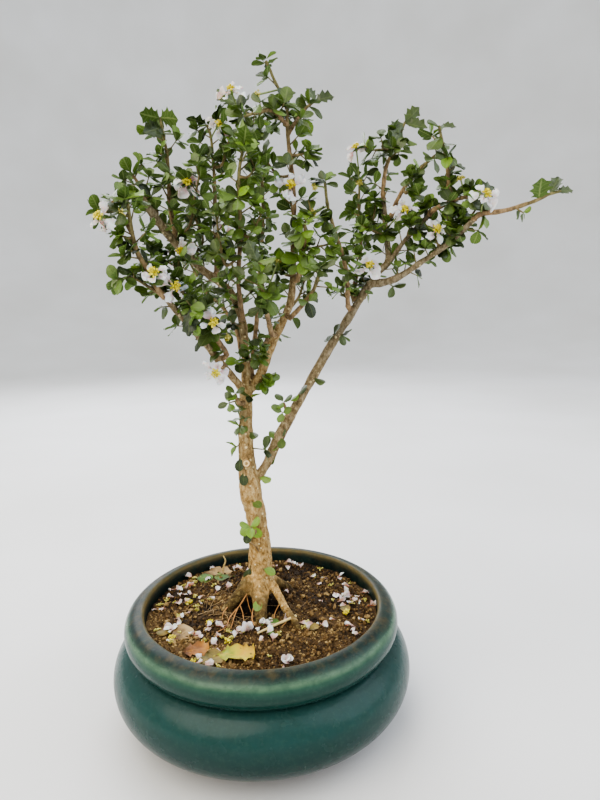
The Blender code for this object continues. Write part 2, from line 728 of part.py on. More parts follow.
def nearest_on(path, radii, point):
    """Closest point of a path's centre line, with its radius and direction."""
    best = None
    for a, b, ra, rb in zip(path, path[1:], radii, radii[1:]):
        t = np.clip(np.dot(np.asarray(point) - a, b - a) / np.dot(b - a, b - a), 0, 1)
        q = a + t * (b - a)
        d = np.linalg.norm(np.asarray(point) - q)
        if best is None or d < best[0]:
            best = (d, q, ra + t * (rb - ra), unit(b - a))
    return best[1:]


def seat_on_limb(name, tip, points):
    """Start of a stem: face to face with the limb's tip, or square on its side."""
    path, radii = limb_path(name)
    if tip:
        along = unit(path[-1] - path[-2])
        start = path[-1] + along * GAP
        return [start, start + along * 2.5] + [np.array(p, float) for p in points]
    centre, radius, along = nearest_on(path, radii, points[0])
    out = across(np.asarray(points[1], float) - centre, along)
    start = centre + out * (radius + GAP + 0.05)
    return [start, start + out * 2.5] + [np.array(p, float) for p in points[1:]]


def pedicel_mesh(path, radii, end, facing):
    """Flower stalk from the nearest wood to the flower's back."""
    centre = nearest_on(path[1:-1], radii[1:-1], end - np.asarray(facing) * 5.0)[0]
    middle = (centre + end) / 2 - unit(facing) * 1.5
    line = np.array([centre, middle, end])
    return tube_mesh(line, np.full(3, PEDICEL_RADIUS), 3), line


def flower_stalk_end(centre, facing):
    return np.asarray(centre, float) - unit(facing) * (CALYX_HEIGHT + GAP)


def boss_mesh(centre, facing, radius, height, lumps=5):
    """Low lumpy dome of anthers on a flat base."""
    facing = unit(facing)
    u = across((0.2, 0.3, 1.0), facing)
    v = np.cross(facing, u)
    turn = np.linspace(0, 2 * math.pi, 2 * lumps, endpoint=False)
    wave = 1 + 0.16 * np.cos(lumps * turn)
    verts = [np.asarray(centre, float)]
    for r, h in ((0.62, 0.0), (1.0, 0.5)):
        verts += [np.asarray(centre) + facing * (h * height)
                  + (u * math.cos(a) + v * math.sin(a)) * r * radius * w
                  for a, w in zip(turn, wave)]
    verts.append(np.asarray(centre) + facing * height)
    n = len(turn)
    faces = [(0, 1 + (i + 1) % n, 1 + i) for i in range(n)]
    faces += [(1 + i, 1 + (i + 1) % n, 1 + n + (i + 1) % n, 1 + n + i) for i in range(n)]
    faces += [(1 + n + i, 1 + n + (i + 1) % n, len(verts) - 1) for i in range(n)]
    return np.array(verts), faces


def make_flower(index, centre, facing, petal_material, boss_material, space):
    """Calyx hub with five petals as one body, and the boss of anthers in front of it."""
    rng = np.random.RandomState(300 + index)
    name = "flower_%02d" % index
    facing = unit(facing)
    centre = np.asarray(centre, float)
    crumples = rng.uniform(-0.8, 0.8, (5, 6))
    tilts = rng.uniform(-0.12, 0.30, 5)

    def grow(k, base, outward):
        axis = unit(outward + facing * tilts[k])
        normal = across(facing, axis)
        size = (PETAL_LENGTH, PETAL_WIDTH)
        t, w = [g.ravel() for g in np.meshgrid(np.linspace(0.3, 1.0, 5),
                                               np.linspace(-0.5, 0.5, 4))]
        space.add_points(base + np.outer(t * size[0], axis)
                         + np.outer(w * size[1], np.cross(normal, axis)), name)
        outline, ribs = petal_points(base, axis, normal, size, crumples[k])
        return outline, ribs, normal

    back = centre - facing * CALYX_HEIGHT
    front = centre - facing * BLADE_THICKNESS / 2
    petals = make_object("petals_%02d" % index,
                         *rosette(back, front, CALYX_RADIUS, 5, rng.uniform(0, 2), grow),
                         petal_material)
    fix_normals(petals)
    shade(petals, 40)
    boss = make_object("stamens_%02d" % index,
                       *boss_mesh(centre + facing * (GAP + 0.05), facing, BOSS_RADIUS,
                                  BOSS_HEIGHT), boss_material)
    fix_normals(boss)
    shade(boss, 50)
    space.add_points(np.array([centre + facing * 2.0]), name)


def stem_parts(name, spec, index, space):
    """Shoots, spurs and blades of one leafy stem, kept clear of all other nodes."""
    rng = np.random.RandomState(100 + index)
    meshes = []
    pitch = spec.get("pitch", SPUR_PITCH)
    for number, (path, radii) in enumerate(stem_paths[name]):
        meshes.append(tube_mesh(path, radii, STEM_SIDES))
        lengths = np.append(0, np.cumsum(np.linalg.norm(np.diff(path, axis=0), axis=1)))
        total = lengths[-1]
        for k, place in enumerate(np.arange(total, spec.get("bare", 6.0), -pitch)):
            draws = rng.uniform(0, 1, 16)
            centre = point_along(path, lengths, place)
            along = unit(point_along(path, lengths, min(place + 1, total))
                         - point_along(path, lengths, place - 1))
            if k == 0:
                start, end = centre - along * 1.2, centre + along * 0.9
            else:
                turn = k * 2.4 + draws[0] * 1.2 + number
                u = across((0.0, 0.3, 1.0), along)
                v = np.cross(along, u)
                out = unit(0.5 * along + u * math.cos(turn) + v * math.sin(turn)
                           + np.array([0, 0, 0.35]))
                reach = SPUR_LENGTH[0] + draws[1] * (SPUR_LENGTH[1] - SPUR_LENGTH[0])
                start, end = centre, centre + out * reach
                if not space.clear(np.array([(centre + end) / 2, end]), name, 2.2, 1.4):
                    continue
                space.add_points(np.array([(centre + end) / 2, end]), name)
            holly = spec["holly"] if k == 0 and number == 0 else 0
            meshes.append(leaf_rosette(start, end, holly, draws, name, space))
    return meshes


def point_along(path, lengths, place):
    return np.array([np.interp(place, lengths, path[:, c]) for c in range(3)])


def leaf_rosette(start, end, holly, draws, name, space):
    """A spur with its leaves. Blades that would come near another node are left out."""
    along = unit(end - start)

    def grow(k, base, outward):
        kind, size = (HOLLY_BLADE, HOLLY_LEAF) if k < holly else (ROUND_BLADE, ROUND_LEAF)
        scale = 0.82 + 0.34 * draws[2 + k]
        size = (size[0] * scale, size[1] * scale)
        droop = 0.04 + 0.14 * draws[14]
        for lean in (0.0, -18.0, 14.0):
            spread = math.radians(LEAF_SPREAD * (0.78 + 0.44 * draws[6 + k]) + lean)
            axis = unit(along * math.cos(spread) + outward * math.sin(spread))
            normal = across(along * 0.8 + np.array([0, -0.1, 0.5]), axis)
            samples = blade_samples(base, axis, normal, size, droop)
            if space.clear(samples, name):
                space.add_points(samples, name)
                outline, ribs = blade_points(base, axis, normal, size, kind, droop)
                return outline, ribs, normal
        return None

    count = max(LEAVES_PER_SPUR, holly)
    return rosette(start, end, SPUR_RADIUS, count, draws[15] * 2 * math.pi, grow)


# Fallen leaves: where the leaf stalk starts, the way the leaf points, its size and its blade
FALLEN = {
    "fallen_leaf_yellow": ((-18.5, -39.0), (1.0, -0.12), (16.5, 9.0), HOLLY_BLADE),
    "fallen_leaf_brown": ((-35.0, -33.0), (1.0, -0.25), (11.0, 8.0), HOLLY_BLADE),
}


def rest_on(obj, ground, gap):
    """Lowers an object until its nearest point is the gap above the ground."""
    tree = BVHTree.FromObject(ground, bpy.context.evaluated_depsgraph_get())
    mesh = obj.data
    points = [v.co for v in mesh.vertices]
    points += [(mesh.vertices[a].co + mesh.vertices[b].co) / 2 for a, b in mesh.edge_keys]
    points += [face.center for face in mesh.polygons]
    drops = [(p - hit[0]).z for p in points
             for hit in [tree.ray_cast(p, Vector((0, 0, -1)))] if hit[0]]
    for vert in mesh.vertices:
        vert.co.z -= min(drops) - gap * MM


def make_fallen_leaf(name, start, heading, size, kind, material, soil):
    heading = unit((*heading, 0.0))
    start = np.array([*start, SOIL_LEVEL + 12.0])

    def grow(k, base, outward):
        if k:
            return None
        outline, ribs = blade_points(base, heading, np.array([0, 0, 1.0]), size, kind, -0.03)
        return outline, ribs, np.array([0, 0, 1.0])

    up = np.array([0, 0, 1.0])
    side = math.atan2(np.dot(np.cross(across((0.0, 0.2, 1.0), up), heading), up),
                      np.dot(across((0.0, 0.2, 1.0), up), heading))
    obj = make_object(name, *rosette(start, start + up * 0.9, SPUR_RADIUS, 3,
                                     side - math.pi / 3, grow), material)
    fix_normals(obj)
    rest_on(obj, soil, GAP)
    shade(obj, 40)


def place_on_table(origin_name):
    """Hangs every piece on one empty, which puts the origin under the box's middle."""
    pieces = [obj for obj in bpy.data.objects if obj.type == "MESH"]
    corners = np.array([v.co[:] for obj in pieces for v in obj.data.vertices])
    middle = (corners.min(axis=0) + corners.max(axis=0)) / 2
    origin = bpy.data.objects.new(origin_name, None)
    bpy.context.scene.collection.objects.link(origin)
    origin.location = (-middle[0], -middle[1], 0.0)
    for obj in pieces:
        obj.parent = origin


clear_scene()
bark = make_material("bark", (0.42, 0.27, 0.13), 0.75)
glaze = make_material("teal_glaze", (0.03, 0.10, 0.09), 0.25)
grit = make_material("grit", (0.22, 0.13, 0.07), 0.95)
mesh_plastic = make_material("mesh_plastic", (0.03, 0.03, 0.03), 0.5)
leaf_green = make_material("leaf_green", (0.05, 0.13, 0.02), 0.4)
petal_white = make_material("petal_white", (0.85, 0.82, 0.85), 0.6)
anther_yellow = make_material("anther_yellow", (0.75, 0.60, 0.08), 0.7)
fallen_yellow = make_material("fallen_yellow", (0.62, 0.47, 0.06), 0.55)
fallen_brown = make_material("fallen_brown", (0.42, 0.20, 0.06), 0.6)

space = Clearance()
for limb in ["trunk"] + list(LIMBS):
    path, radii = limb_path(limb)
    space.add_wood(path, radii, "tree")

stem_paths = {}
for name, spec in STEMS.items():
    stem_paths[name] = []
    for number, points in enumerate(spec["shoots"]):
        keys = seat_on_limb(spec["on"], spec["tip"], points) if number == 0 else points
        path = smooth_path(keys, STEM_STEP)
        first = STEM_RADII[0] if number == 0 else STEM_RADII[0] * 0.75
        radii = np.linspace(first, STEM_RADII[1], len(path))
        stem_paths[name].append((path, radii))
        space.add_wood(path, radii, name)

stalks = {}
for centre, facing, carrier in FLOWERS:
    owner = carrier if carrier in STEMS else "tree"
    path, radii = stem_paths[carrier][0] if carrier in STEMS else limb_path(carrier)
    mesh, line = pedicel_mesh(path, radii, flower_stalk_end(centre, facing), facing)
    stalks.setdefault(owner, []).append(mesh)
    space.add_wood(line, np.full(len(line), PEDICEL_RADIUS), owner)
for centre, carrier in SPENT:
    path, radii = stem_paths[carrier][0]
    away = unit(np.asarray(centre) - nearest_on(path, radii, centre)[0])
    mesh, line = pedicel_mesh(path, radii, np.asarray(centre, float), away)
    stalks.setdefault(carrier, []).append(mesh)
    stalks[carrier].append(boss_mesh(np.asarray(centre) - away * 0.6, away, SPENT_RADIUS, SPENT_HEIGHT, 3))
    space.add_wood(line, np.full(len(line), PEDICEL_RADIUS), carrier)
    space.add_points(np.array([centre], float), carrier)

make_pot(glaze)
make_screen(mesh_plastic)
soil = make_soil(grit, BIG_ROOTS.values())
make_tree(bark, stalks.get("tree", []))
for index, (centre, facing, carrier) in enumerate(FLOWERS):
    make_flower(index, centre, facing, petal_white, anther_yellow, space)
for index, (name, spec) in enumerate(STEMS.items()):
    meshes = stem_parts(name, spec, index, space)
    stem = union("leaves_" + name, meshes + stalks.get(name, []), leaf_green)
    shade(stem, 40)
for name, (start, heading, size, kind) in FALLEN.items():
    colour = fallen_yellow if name.endswith("yellow") else fallen_brown
    make_fallen_leaf(name, start, heading, size, kind, colour, soil)
place_on_table("bonsai")
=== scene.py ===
# Dwarf holly bonsai in a round glazed pot: its looks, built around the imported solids.
# Every shape is worked out in millimetres from the pot's axis, with its foot at height 0,
# and is moved to its place in the model as its mesh is made.

import functools
import math

import bpy
import numpy as np
from mathutils import Matrix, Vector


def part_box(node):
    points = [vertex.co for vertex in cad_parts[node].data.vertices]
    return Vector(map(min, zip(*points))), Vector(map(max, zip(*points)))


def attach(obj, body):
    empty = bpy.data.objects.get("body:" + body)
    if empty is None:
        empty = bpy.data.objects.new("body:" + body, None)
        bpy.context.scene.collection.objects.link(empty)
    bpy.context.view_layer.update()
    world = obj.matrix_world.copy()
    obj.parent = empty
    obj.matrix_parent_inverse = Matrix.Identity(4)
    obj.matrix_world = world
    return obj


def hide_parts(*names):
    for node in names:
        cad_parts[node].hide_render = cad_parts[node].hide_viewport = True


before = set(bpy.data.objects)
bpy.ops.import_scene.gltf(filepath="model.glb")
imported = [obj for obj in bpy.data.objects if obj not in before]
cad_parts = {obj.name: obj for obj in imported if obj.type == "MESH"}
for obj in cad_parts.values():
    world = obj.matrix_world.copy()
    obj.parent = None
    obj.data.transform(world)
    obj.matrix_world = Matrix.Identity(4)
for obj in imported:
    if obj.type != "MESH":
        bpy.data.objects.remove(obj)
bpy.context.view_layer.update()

mm = 0.001
turn = 2 * math.pi
goldenAngle = 2.4                                       # radians from one leaf to the next
up = np.array([0.0, 0.0, 1.0])
potLow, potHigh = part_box("pot")
potAxis = np.array([(potLow.x + potHigh.x) / 2, (potLow.y + potHigh.y) / 2, 0.0])
print("frame loaded, pot axis at", potAxis.round(4))


# Colours and shader nodes

black, white = "#000000", "#ffffff"

# Sockets of the nodes whose values or result aren't at the first ones
nodeSockets = dict(Mix=((0, 6, 7), 2), Attribute=((), "Fac"), TexCoord=((), "Object"))


def linearColour(text):
    # sRGB hex to linear light by the standard two-part curve
    raw = [int(text[i:i + 2], 16) / 255 for i in (1, 3, 5)]
    return tuple(c / 12.92 if c <= 0.04045 else ((c + 0.055) / 1.055) ** 2.4 for c in raw) + (1.0,)


def addNode(tree, kind, inputs=(), stops=(), **settings):
    # one node: its settings, its inputs as numbers, hex colours or sockets, in order or by name,
    # and a ramp's stops as (place, hex). Gives the socket of its result.
    node = tree.nodes.new("ShaderNode" + kind)
    places, result = nodeSockets.get(kind, (range(len(inputs)), 0))
    for key, value in settings.items():
        setattr(node, key, value)
    for key, value in inputs.items() if isinstance(inputs, dict) else zip(places, inputs):
        if isinstance(value, bpy.types.NodeSocket):
            tree.links.new(value, node.inputs[key])
        else:
            node.inputs[key].default_value = linearColour(value) if isinstance(value, str) else value
    for i, (place, text) in enumerate(stops):
        elements = node.color_ramp.elements
        element = elements[i] if i < 2 else elements.new(place)
        element.position = place
        element.color = linearColour(text)
    return node.outputs[result]


def newMaterial(name, finish):
    # a Principled surface with the fixed values of one finish; its nodes are added with add
    material = bpy.data.materials.new(name)
    material.use_nodes = True
    shader = material.node_tree.nodes["Principled BSDF"]
    for key, value in finish.items():
        shader.inputs[key].default_value = value
    return material, functools.partial(addNode, material.node_tree), shader


def objectNoise(add, period, detail=3.0, roughness=0.5, stretch=(1, 1, 1)):
    # noise on Object coordinates whose features are about one period, in millimetres, across
    mapped = add("Mapping", {"Vector": add("TexCoord"), "Scale": stretch})
    return add("TexNoise", {"Vector": mapped, "Scale": 1 / (period * mm), "Detail": detail,
                            "Roughness": roughness})


def cellDistance(add, period):
    # distance to the nearest of points scattered about one period, in millimetres, apart
    return add("TexVoronoi", {"Vector": add("TexCoord"), "Scale": 1 / (period * mm)})


def bladeAxes(add):
    # UV of a blade: -1 to 1 across it, and 0 to 1 from its stalk to its tip
    x = add("SeparateXYZ", [add("UVMap", uv_map="UVMap")])
    return x, x.node.outputs["Y"]


def tinted(add, colour, *layers):
    # tints laid over a colour one after another, each by a mask times a share
    for mask, share, tint in layers:
        amount = add("Math", [mask, share], operation="MULTIPLY")
        colour = add("Mix", [amount, colour, tint], data_type="RGBA")
    return colour


def coverSurface(add, shader, colour, height, depth, strength=1.0):
    # links the surface's colour and its relief, of the given depth in millimetres
    relief = add("Bump", {"Height": height, "Distance": depth * mm, "Strength": strength})
    shader.id_data.links.new(colour, shader.inputs["Base Color"])
    shader.id_data.links.new(relief, shader.inputs["Normal"])


# Mesh arrays. A part is a dictionary of points, quads, tris, uv, tone and material number.

def makePart(points, quads, tris=None, uv=None, tone=0.5, material=0):
    # whole arrays from lists, single values and what is left out
    points = np.asarray(points, float).reshape(-1, 3)
    quads = np.asarray(quads, int).reshape(-1, 4)
    tris = np.zeros((0, 3), int) if tris is None else np.asarray(tris, int).reshape(-1, 3)
    uv = np.zeros((len(points), 2)) if uv is None else np.asarray(uv, float).reshape(-1, 2)
    return dict(points=points, quads=quads, tris=tris, uv=uv,
                tone=np.broadcast_to(np.asarray(tone, float), len(points)),
                quadMaterial=np.broadcast_to(np.asarray(material, int), len(quads)),
                triMaterial=np.broadcast_to(np.asarray(material, int).ravel()[:1], len(tris)))


def joinParts(parts):
    # one part: each part's point numbers are moved on by the points before it
    starts = np.cumsum([0] + [len(p["points"]) for p in parts[:-1]])
    joined = {key: np.concatenate([p[key] for p in parts])
              for key in ("points", "uv", "tone", "quadMaterial", "triMaterial")}
    joined["quads"] = np.concatenate([p["quads"] + s for p, s in zip(parts, starts)])
    joined["tris"] = np.concatenate([p["tris"] + s for p, s in zip(parts, starts)])
    return joined


def addPiece(name, parts, materials, replaced=(), flat=False, sharp=70.0):
    # puts the arrays into a mesh, in metres and in place, and hangs it on the root body
    whole = joinParts(parts)
    mesh = bpy.data.meshes.new(name)
    mesh.from_pydata((whole["points"] * mm + potAxis).tolist(), [],
                     whole["quads"].tolist() + whole["tris"].tolist())
    corners = np.zeros(len(mesh.loops), np.int32)
    mesh.loops.foreach_get("vertex_index", corners)
    mesh.uv_layers.new(name="UVMap").data.foreach_set(
        "uv", whole["uv"][corners].astype(np.float32).ravel())
    mesh.attributes.new("tone", "FLOAT", "POINT").data.foreach_set(
        "value", whole["tone"].astype(np.float32))
    for material in materials:
        mesh.materials.append(material)
    mesh.polygons.foreach_set(
        "material_index", np.append(whole["quadMaterial"], whole["triMaterial"]).astype(np.int32))
    mesh.polygons.foreach_set("use_smooth", np.full(len(mesh.polygons), not flat))
    mesh.validate()
    if not flat:
        mesh.set_sharp_from_angle(angle=math.radians(sharp))
    piece = bpy.data.objects.new(name, mesh)
    bpy.context.scene.collection.objects.link(piece)
    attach(piece, "root")
    if replaced:
        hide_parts(*replaced)
    return piece


def gridQuads(rows, columns, closed=False):
    # quads between neighbouring rows of a grid, the last column joined to the first if closed
    step = columns if closed else columns - 1
    row, column = np.meshgrid(np.arange(rows - 1), np.arange(step), indexing="ij")
    after = (column + 1) % columns
    return np.stack([row * columns + column, row * columns + after,
                     (row + 1) * columns + after, (row + 1) * columns + column], -1).reshape(-1, 4)


def fanTris(ring, pole, flip=False):
    # triangles from a ring of point numbers to one pole
    after = np.roll(ring, -1)
    pair = (after, ring) if flip else (ring, after)
    return np.stack([*pair, np.full(len(ring), pole)], -1)


def unit(vectors):
    # each vector divided by its length
    vectors = np.asarray(vectors, float)
    return vectors / np.linalg.norm(vectors, axis=-1, keepdims=True)


def across(vectors, axis):
    # what is left of a vector when its share along the axis is taken away, at unit length
    axis = unit(axis)
    return unit(vectors - (vectors * axis).sum(-1, keepdims=True) * axis)


def spokes(along, angles, hint=(0.0, 0.2, 1.0)):
    # directions square to a way: cos(angle) times the side where the hint is, plus sin(angle)
    # times the side a quarter turn on
    side = across(np.array(hint), along)
    return (np.multiply.outer(np.cos(angles), side)
            + np.multiply.outer(np.sin(angles), np.cross(along, side)))


def waves(points, period, seed, count=8):
    # smooth unevenness of about -1 to 1: the mean of sine waves in random directions
    rng = np.random.RandomState(seed)
    directions = unit(rng.normal(size=(count, 3))) * rng.uniform(0.7, 1.5, (count, 1))
    phases = rng.uniform(0, turn, count)
    return np.sin(points @ directions.T * (turn / period) + phases).sum(1) / math.sqrt(count)


def smoothPath(points, step):
    # Catmull-Rom curve: each stretch is a cubic through its two points, its slope there
    # half the way between the neighbours, sampled about every step
    points = np.asarray(points, float)
    ends = np.vstack([2 * points[0] - points[1], points, 2 * points[-1] - points[-2]])
    out = [points[:1]]
    for a, b, c, d in zip(ends, ends[1:], ends[2:], ends[3:]):
        count = max(1, round(np.linalg.norm(c - b) / step))
        t = (np.arange(1, count + 1) / count)[:, None]
        out.append(0.5 * (2 * b + (c - a) * t + (2 * a - 5 * b + 4 * c - d) * t ** 2
                          + (3 * b - a - 3 * c + d) * t ** 3))
    return np.vstack(out)


def pathFrames(path):
    # unit tangent at each point, and two sides carried along the path without twist
    tangents = unit(np.gradient(path, axis=0))
    side = across(np.array([1.0, 0.2, 0.1]), tangents[0])
    sides = []
    for tangent in tangents:
        side = across(side, tangent)
        sides.append(side)
    sides = np.array(sides)
    return tangents, sides, np.cross(tangents, sides)


def pathLengths(path):
    # how far along the path each point is
    return np.append(0, np.cumsum(np.linalg.norm(np.diff(path, axis=0), axis=1)))


tubeEnd = dict(reach=0.35, radius=0.6, pole=0.2)        # a tube's domed end, in its radii


def tubePart(path, radii, count, tone=0.5, material=0, rough=0.0, period=3.5, seed=0):
    # rings round a path: point = path + radius * (cos a * side + sin a * up), the radius
    # uneven by a share called rough, closed at each end by a low dome and a pole
    tangents, sides, ups = pathFrames(path)
    radii = np.broadcast_to(np.asarray(radii, float), len(path))
    tone = np.broadcast_to(np.asarray(tone, float), len(path))
    path = np.vstack([path[:1] - tangents[:1] * radii[0] * tubeEnd["reach"], path,
                      path[-1:] + tangents[-1:] * radii[-1] * tubeEnd["reach"]])
    sides, ups = [np.vstack([s[:1], s, s[-1:]]) for s in (sides, ups)]
    radii = np.concatenate([radii[:1] * tubeEnd["radius"], radii, radii[-1:] * tubeEnd["radius"]])
    tone = np.concatenate([tone[:1], tone, tone[-1:]])
    angle = np.linspace(0, turn, count, endpoint=False)
    rings = (path[:, None] + radii[:, None, None]
             * (np.cos(angle)[None, :, None] * sides[:, None]
                + np.sin(angle)[None, :, None] * ups[:, None]))
    if rough:
        lift = waves(rings.reshape(-1, 3), period, seed).reshape(len(path), count, 1)
        rings += (rings - path[:, None]) * rough * lift
    poles = [path[0] - tangents[0] * radii[0] * tubeEnd["pole"],
             path[-1] + tangents[-1] * radii[-1] * tubeEnd["pole"]]
    points = np.vstack([rings.reshape(-1, 3), poles])
    last = len(path) * count
    ring = np.arange(count)
    tris = np.vstack([fanTris(ring, last, True), fanTris(last - count + ring, last + 1)])
    uv = np.stack(np.meshgrid(pathLengths(path), angle / turn, indexing="ij"), -1).reshape(-1, 2)
    uv = np.vstack([uv, uv[:1], uv[-1:]])
    tones = np.append(np.repeat(tone, count), [tone[0], tone[-1]])
    return makePart(points, gridQuads(len(path), count, True), tris, uv, tones, material)


def taperedTube(points, step, radii, *rest):
    # a tube along a smooth path, its radius going evenly from the first to the last
    path = smoothPath(points, step)
    return tubePart(path, np.linspace(*radii, len(path)), *rest)


def makeBlade(base, axis, normal, size, tone, curl, rng, **more):
    # one blade for bladeParts; of its curl's six values, each pair is a range to draw from
    return dict(base=base, axis=axis, normal=normal, size=np.array(size), tone=tone,
                curl=[rng.uniform(*c) if isinstance(c, tuple) else c for c in curl], **more)


def bladeParts(shape, blades, thickness, material=(0, 1)):
    # thin closed blades, all at once. Over a grid of t along and s across each blade,
    # point = base + t * length * axis + (s * halfWidth(t) * width + sway * t^2 * length) * side
    #         + lift * normal, with lift = length * (cup * s^2 * halfWidth(t) - droop * t^2
    #         + ripple * s^2 * sine(t, s) + crumple * halfWidth(t) * sine(t) * cosine(s)).
    # The under face is the upper one moved down, except at the rim, where both meet. A blade's
    # curl holds its cup, droop, ripple, crumple, sway and phase.
    stack = {key: np.array([b[key] for b in blades]) for key in blades[0] if key != "kind"}
    t, w = np.asarray(shape["t"], float), np.asarray(shape["w"], float)
    s = np.linspace(-1, 1, shape["columns"])
    rows, columns, count = len(t), len(s), len(blades)
    length, width = stack["size"][:, 0, None, None], stack["size"][:, 1, None, None]
    cup, droop, ripple, crumple, sway, phase = [stack["curl"][:, i, None, None] for i in range(6)]
    grow, reach, half = t[None, :, None], s[None, None, :], w[None, :, None]
    lift = length * (cup * reach ** 2 * half - droop * grow ** 2
                     + ripple * np.sin(shape["waves"] * turn * grow + phase + 2 * reach) * reach ** 2
                     + crumple * half * np.sin(9 * grow + phase) * np.cos(4 * reach + 2 * phase))
    aside = reach * half * width + sway * grow ** 2 * length
    axes, normals = stack["axis"][:, None, None], stack["normal"][:, None, None]
    sides = np.cross(stack["normal"], stack["axis"])[:, None, None]
    top = (stack["base"][:, None, None] + (grow * length + 0 * reach)[..., None] * axes
           + aside[..., None] * sides + lift[..., None] * normals)
    under = top[:, 1:-1, 1:-1] - thickness * normals
    points = np.concatenate([top.reshape(count, -1, 3), under.reshape(count, -1, 3)], axis=1)
    upper = np.arange(rows * columns).reshape(rows, columns)
    lower = upper.copy()
    lower[1:-1, 1:-1] = rows * columns + np.arange((rows - 2) * (columns - 2)).reshape(
        rows - 2, columns - 2)
    above = np.stack([upper[:-1, 1:], upper[1:, 1:], upper[1:, :-1], upper[:-1, :-1]], -1)
    below = np.stack([lower[1:, :-1], lower[1:, 1:], lower[:-1, 1:], lower[:-1, :-1]], -1)
    faces = np.vstack([above.reshape(-1, 4), below.reshape(-1, 4)])
    each = points.shape[1]
    quads = (faces[None] + (np.arange(count) * each)[:, None, None]).reshape(-1, 4)
    grid = np.stack(np.meshgrid(t, s, indexing="ij"), -1)
    uv = np.concatenate([grid.reshape(-1, 2), grid[1:-1, 1:-1].reshape(-1, 2)])[:, ::-1]
    kinds = np.tile(np.repeat(material, len(faces) // 2), count)
    return makePart(points, quads, None, np.tile(uv, (count, 1)), np.repeat(stack["tone"], each),
                    kinds)


def beadParts(centres, sizes, tones, seed, rows=3, columns=6):
    # lumpy closed beads: latitude rings on an uneven ball, each turned at random
    rng = np.random.RandomState(seed)
    count = len(centres)
    lat = np.linspace(0, math.pi, rows + 2)[1:-1]
    lon = np.linspace(0, turn, columns, endpoint=False)
    ball = np.stack([np.sin(lat)[:, None] * np.cos(lon), np.sin(lat)[:, None] * np.sin(lon),
                     np.broadcast_to(np.cos(lat)[:, None], (rows, columns))], -1).reshape(-1, 3)
    ball = np.vstack([ball, [(0, 0, 1), (0, 0, -1)]])
    lumps = ball[None] * rng.uniform(0.68, 1.25, (count, len(ball), 1))
    spin, _ = np.linalg.qr(rng.normal(size=(count, 3, 3)))
    spin[:, :, 0] *= np.sign(np.linalg.det(spin))[:, None]
    points = np.einsum("nij,npj->npi", spin, lumps * sizes[:, None]) + centres[:, None]
    ring = np.arange(columns)
    quads = gridQuads(rows, columns, True)[:, ::-1]
    tris = np.vstack([fanTris(ring, rows * columns),
                      fanTris((rows - 1) * columns + ring, rows * columns + 1, True)])
    offset = (np.arange(count) * len(ball))[:, None, None]
    return makePart(points, (quads[None] + offset).reshape(-1, 4), (tris[None] + offset).reshape(-1, 3),
                    None, np.repeat(tones, len(ball)))


# Camera and studio

cameraView = dict(distance=285.136, height=210.066, pitch=0.178, yaw=0.073, roll=-0.014,
                  focal=600.0, frameHeight=800.0, sensor=36.0, clip=(0.01, 20.0))

studio = dict(floorColour="#d8d8d5", wallColour="#eeeff0", middle=(0.02, 0.7), flat=1.3, bend=1.1,
              height=1.9, spokes=96, lightsAim=(-0.02, 0.0, 0.17),
              ambient="#eceff3", ambientStrength=0.95, look="AgX - Medium High Contrast",
              lights=dict(
                  key=dict(place=(-0.60, -0.50, 0.95), size=1.30, power=13.5, colour="#fff4e2"),
                  window=dict(place=(0.85, -0.25, 0.75), size=1.30, power=7.0, colour="#eef3ff"),
                  back=dict(place=(-0.25, 0.75, 0.80), size=1.2, power=12.0, colour="#f6f8ff")))


def placeObject(thing, columns, place):
    # turned so that its axes are the columns, and moved to its place
    matrix = np.eye(4)
    matrix[:3, :3] = np.array(columns).T
    matrix[:3, 3] = place
    thing.matrix_world = Matrix(matrix.tolist())
    bpy.context.scene.collection.objects.link(thing)


def makeCamera(spec):
    # looks from the front, down by pitch and turned by yaw, then rolled about its own axis
    forward = np.array([math.sin(spec["yaw"]) * math.cos(spec["pitch"]),
                        math.cos(spec["yaw"]) * math.cos(spec["pitch"]), -math.sin(spec["pitch"])])
    right = np.array([math.cos(spec["yaw"]), -math.sin(spec["yaw"]), 0.0])
    high = np.cross(right, forward)
    c, s = math.cos(spec["roll"]), math.sin(spec["roll"])
    camera = bpy.data.objects.new("camera", bpy.data.cameras.new("camera"))
    camera.data.sensor_width = spec["sensor"]
    camera.data.lens = spec["sensor"] * spec["focal"] / spec["frameHeight"]
    camera.data.clip_start, camera.data.clip_end = spec["clip"]
    placeObject(camera, [c * right + s * high, c * high - s * right, -forward],
                np.array([0, -spec["distance"], spec["height"]]) * mm + potAxis)
    bpy.context.scene.camera = camera


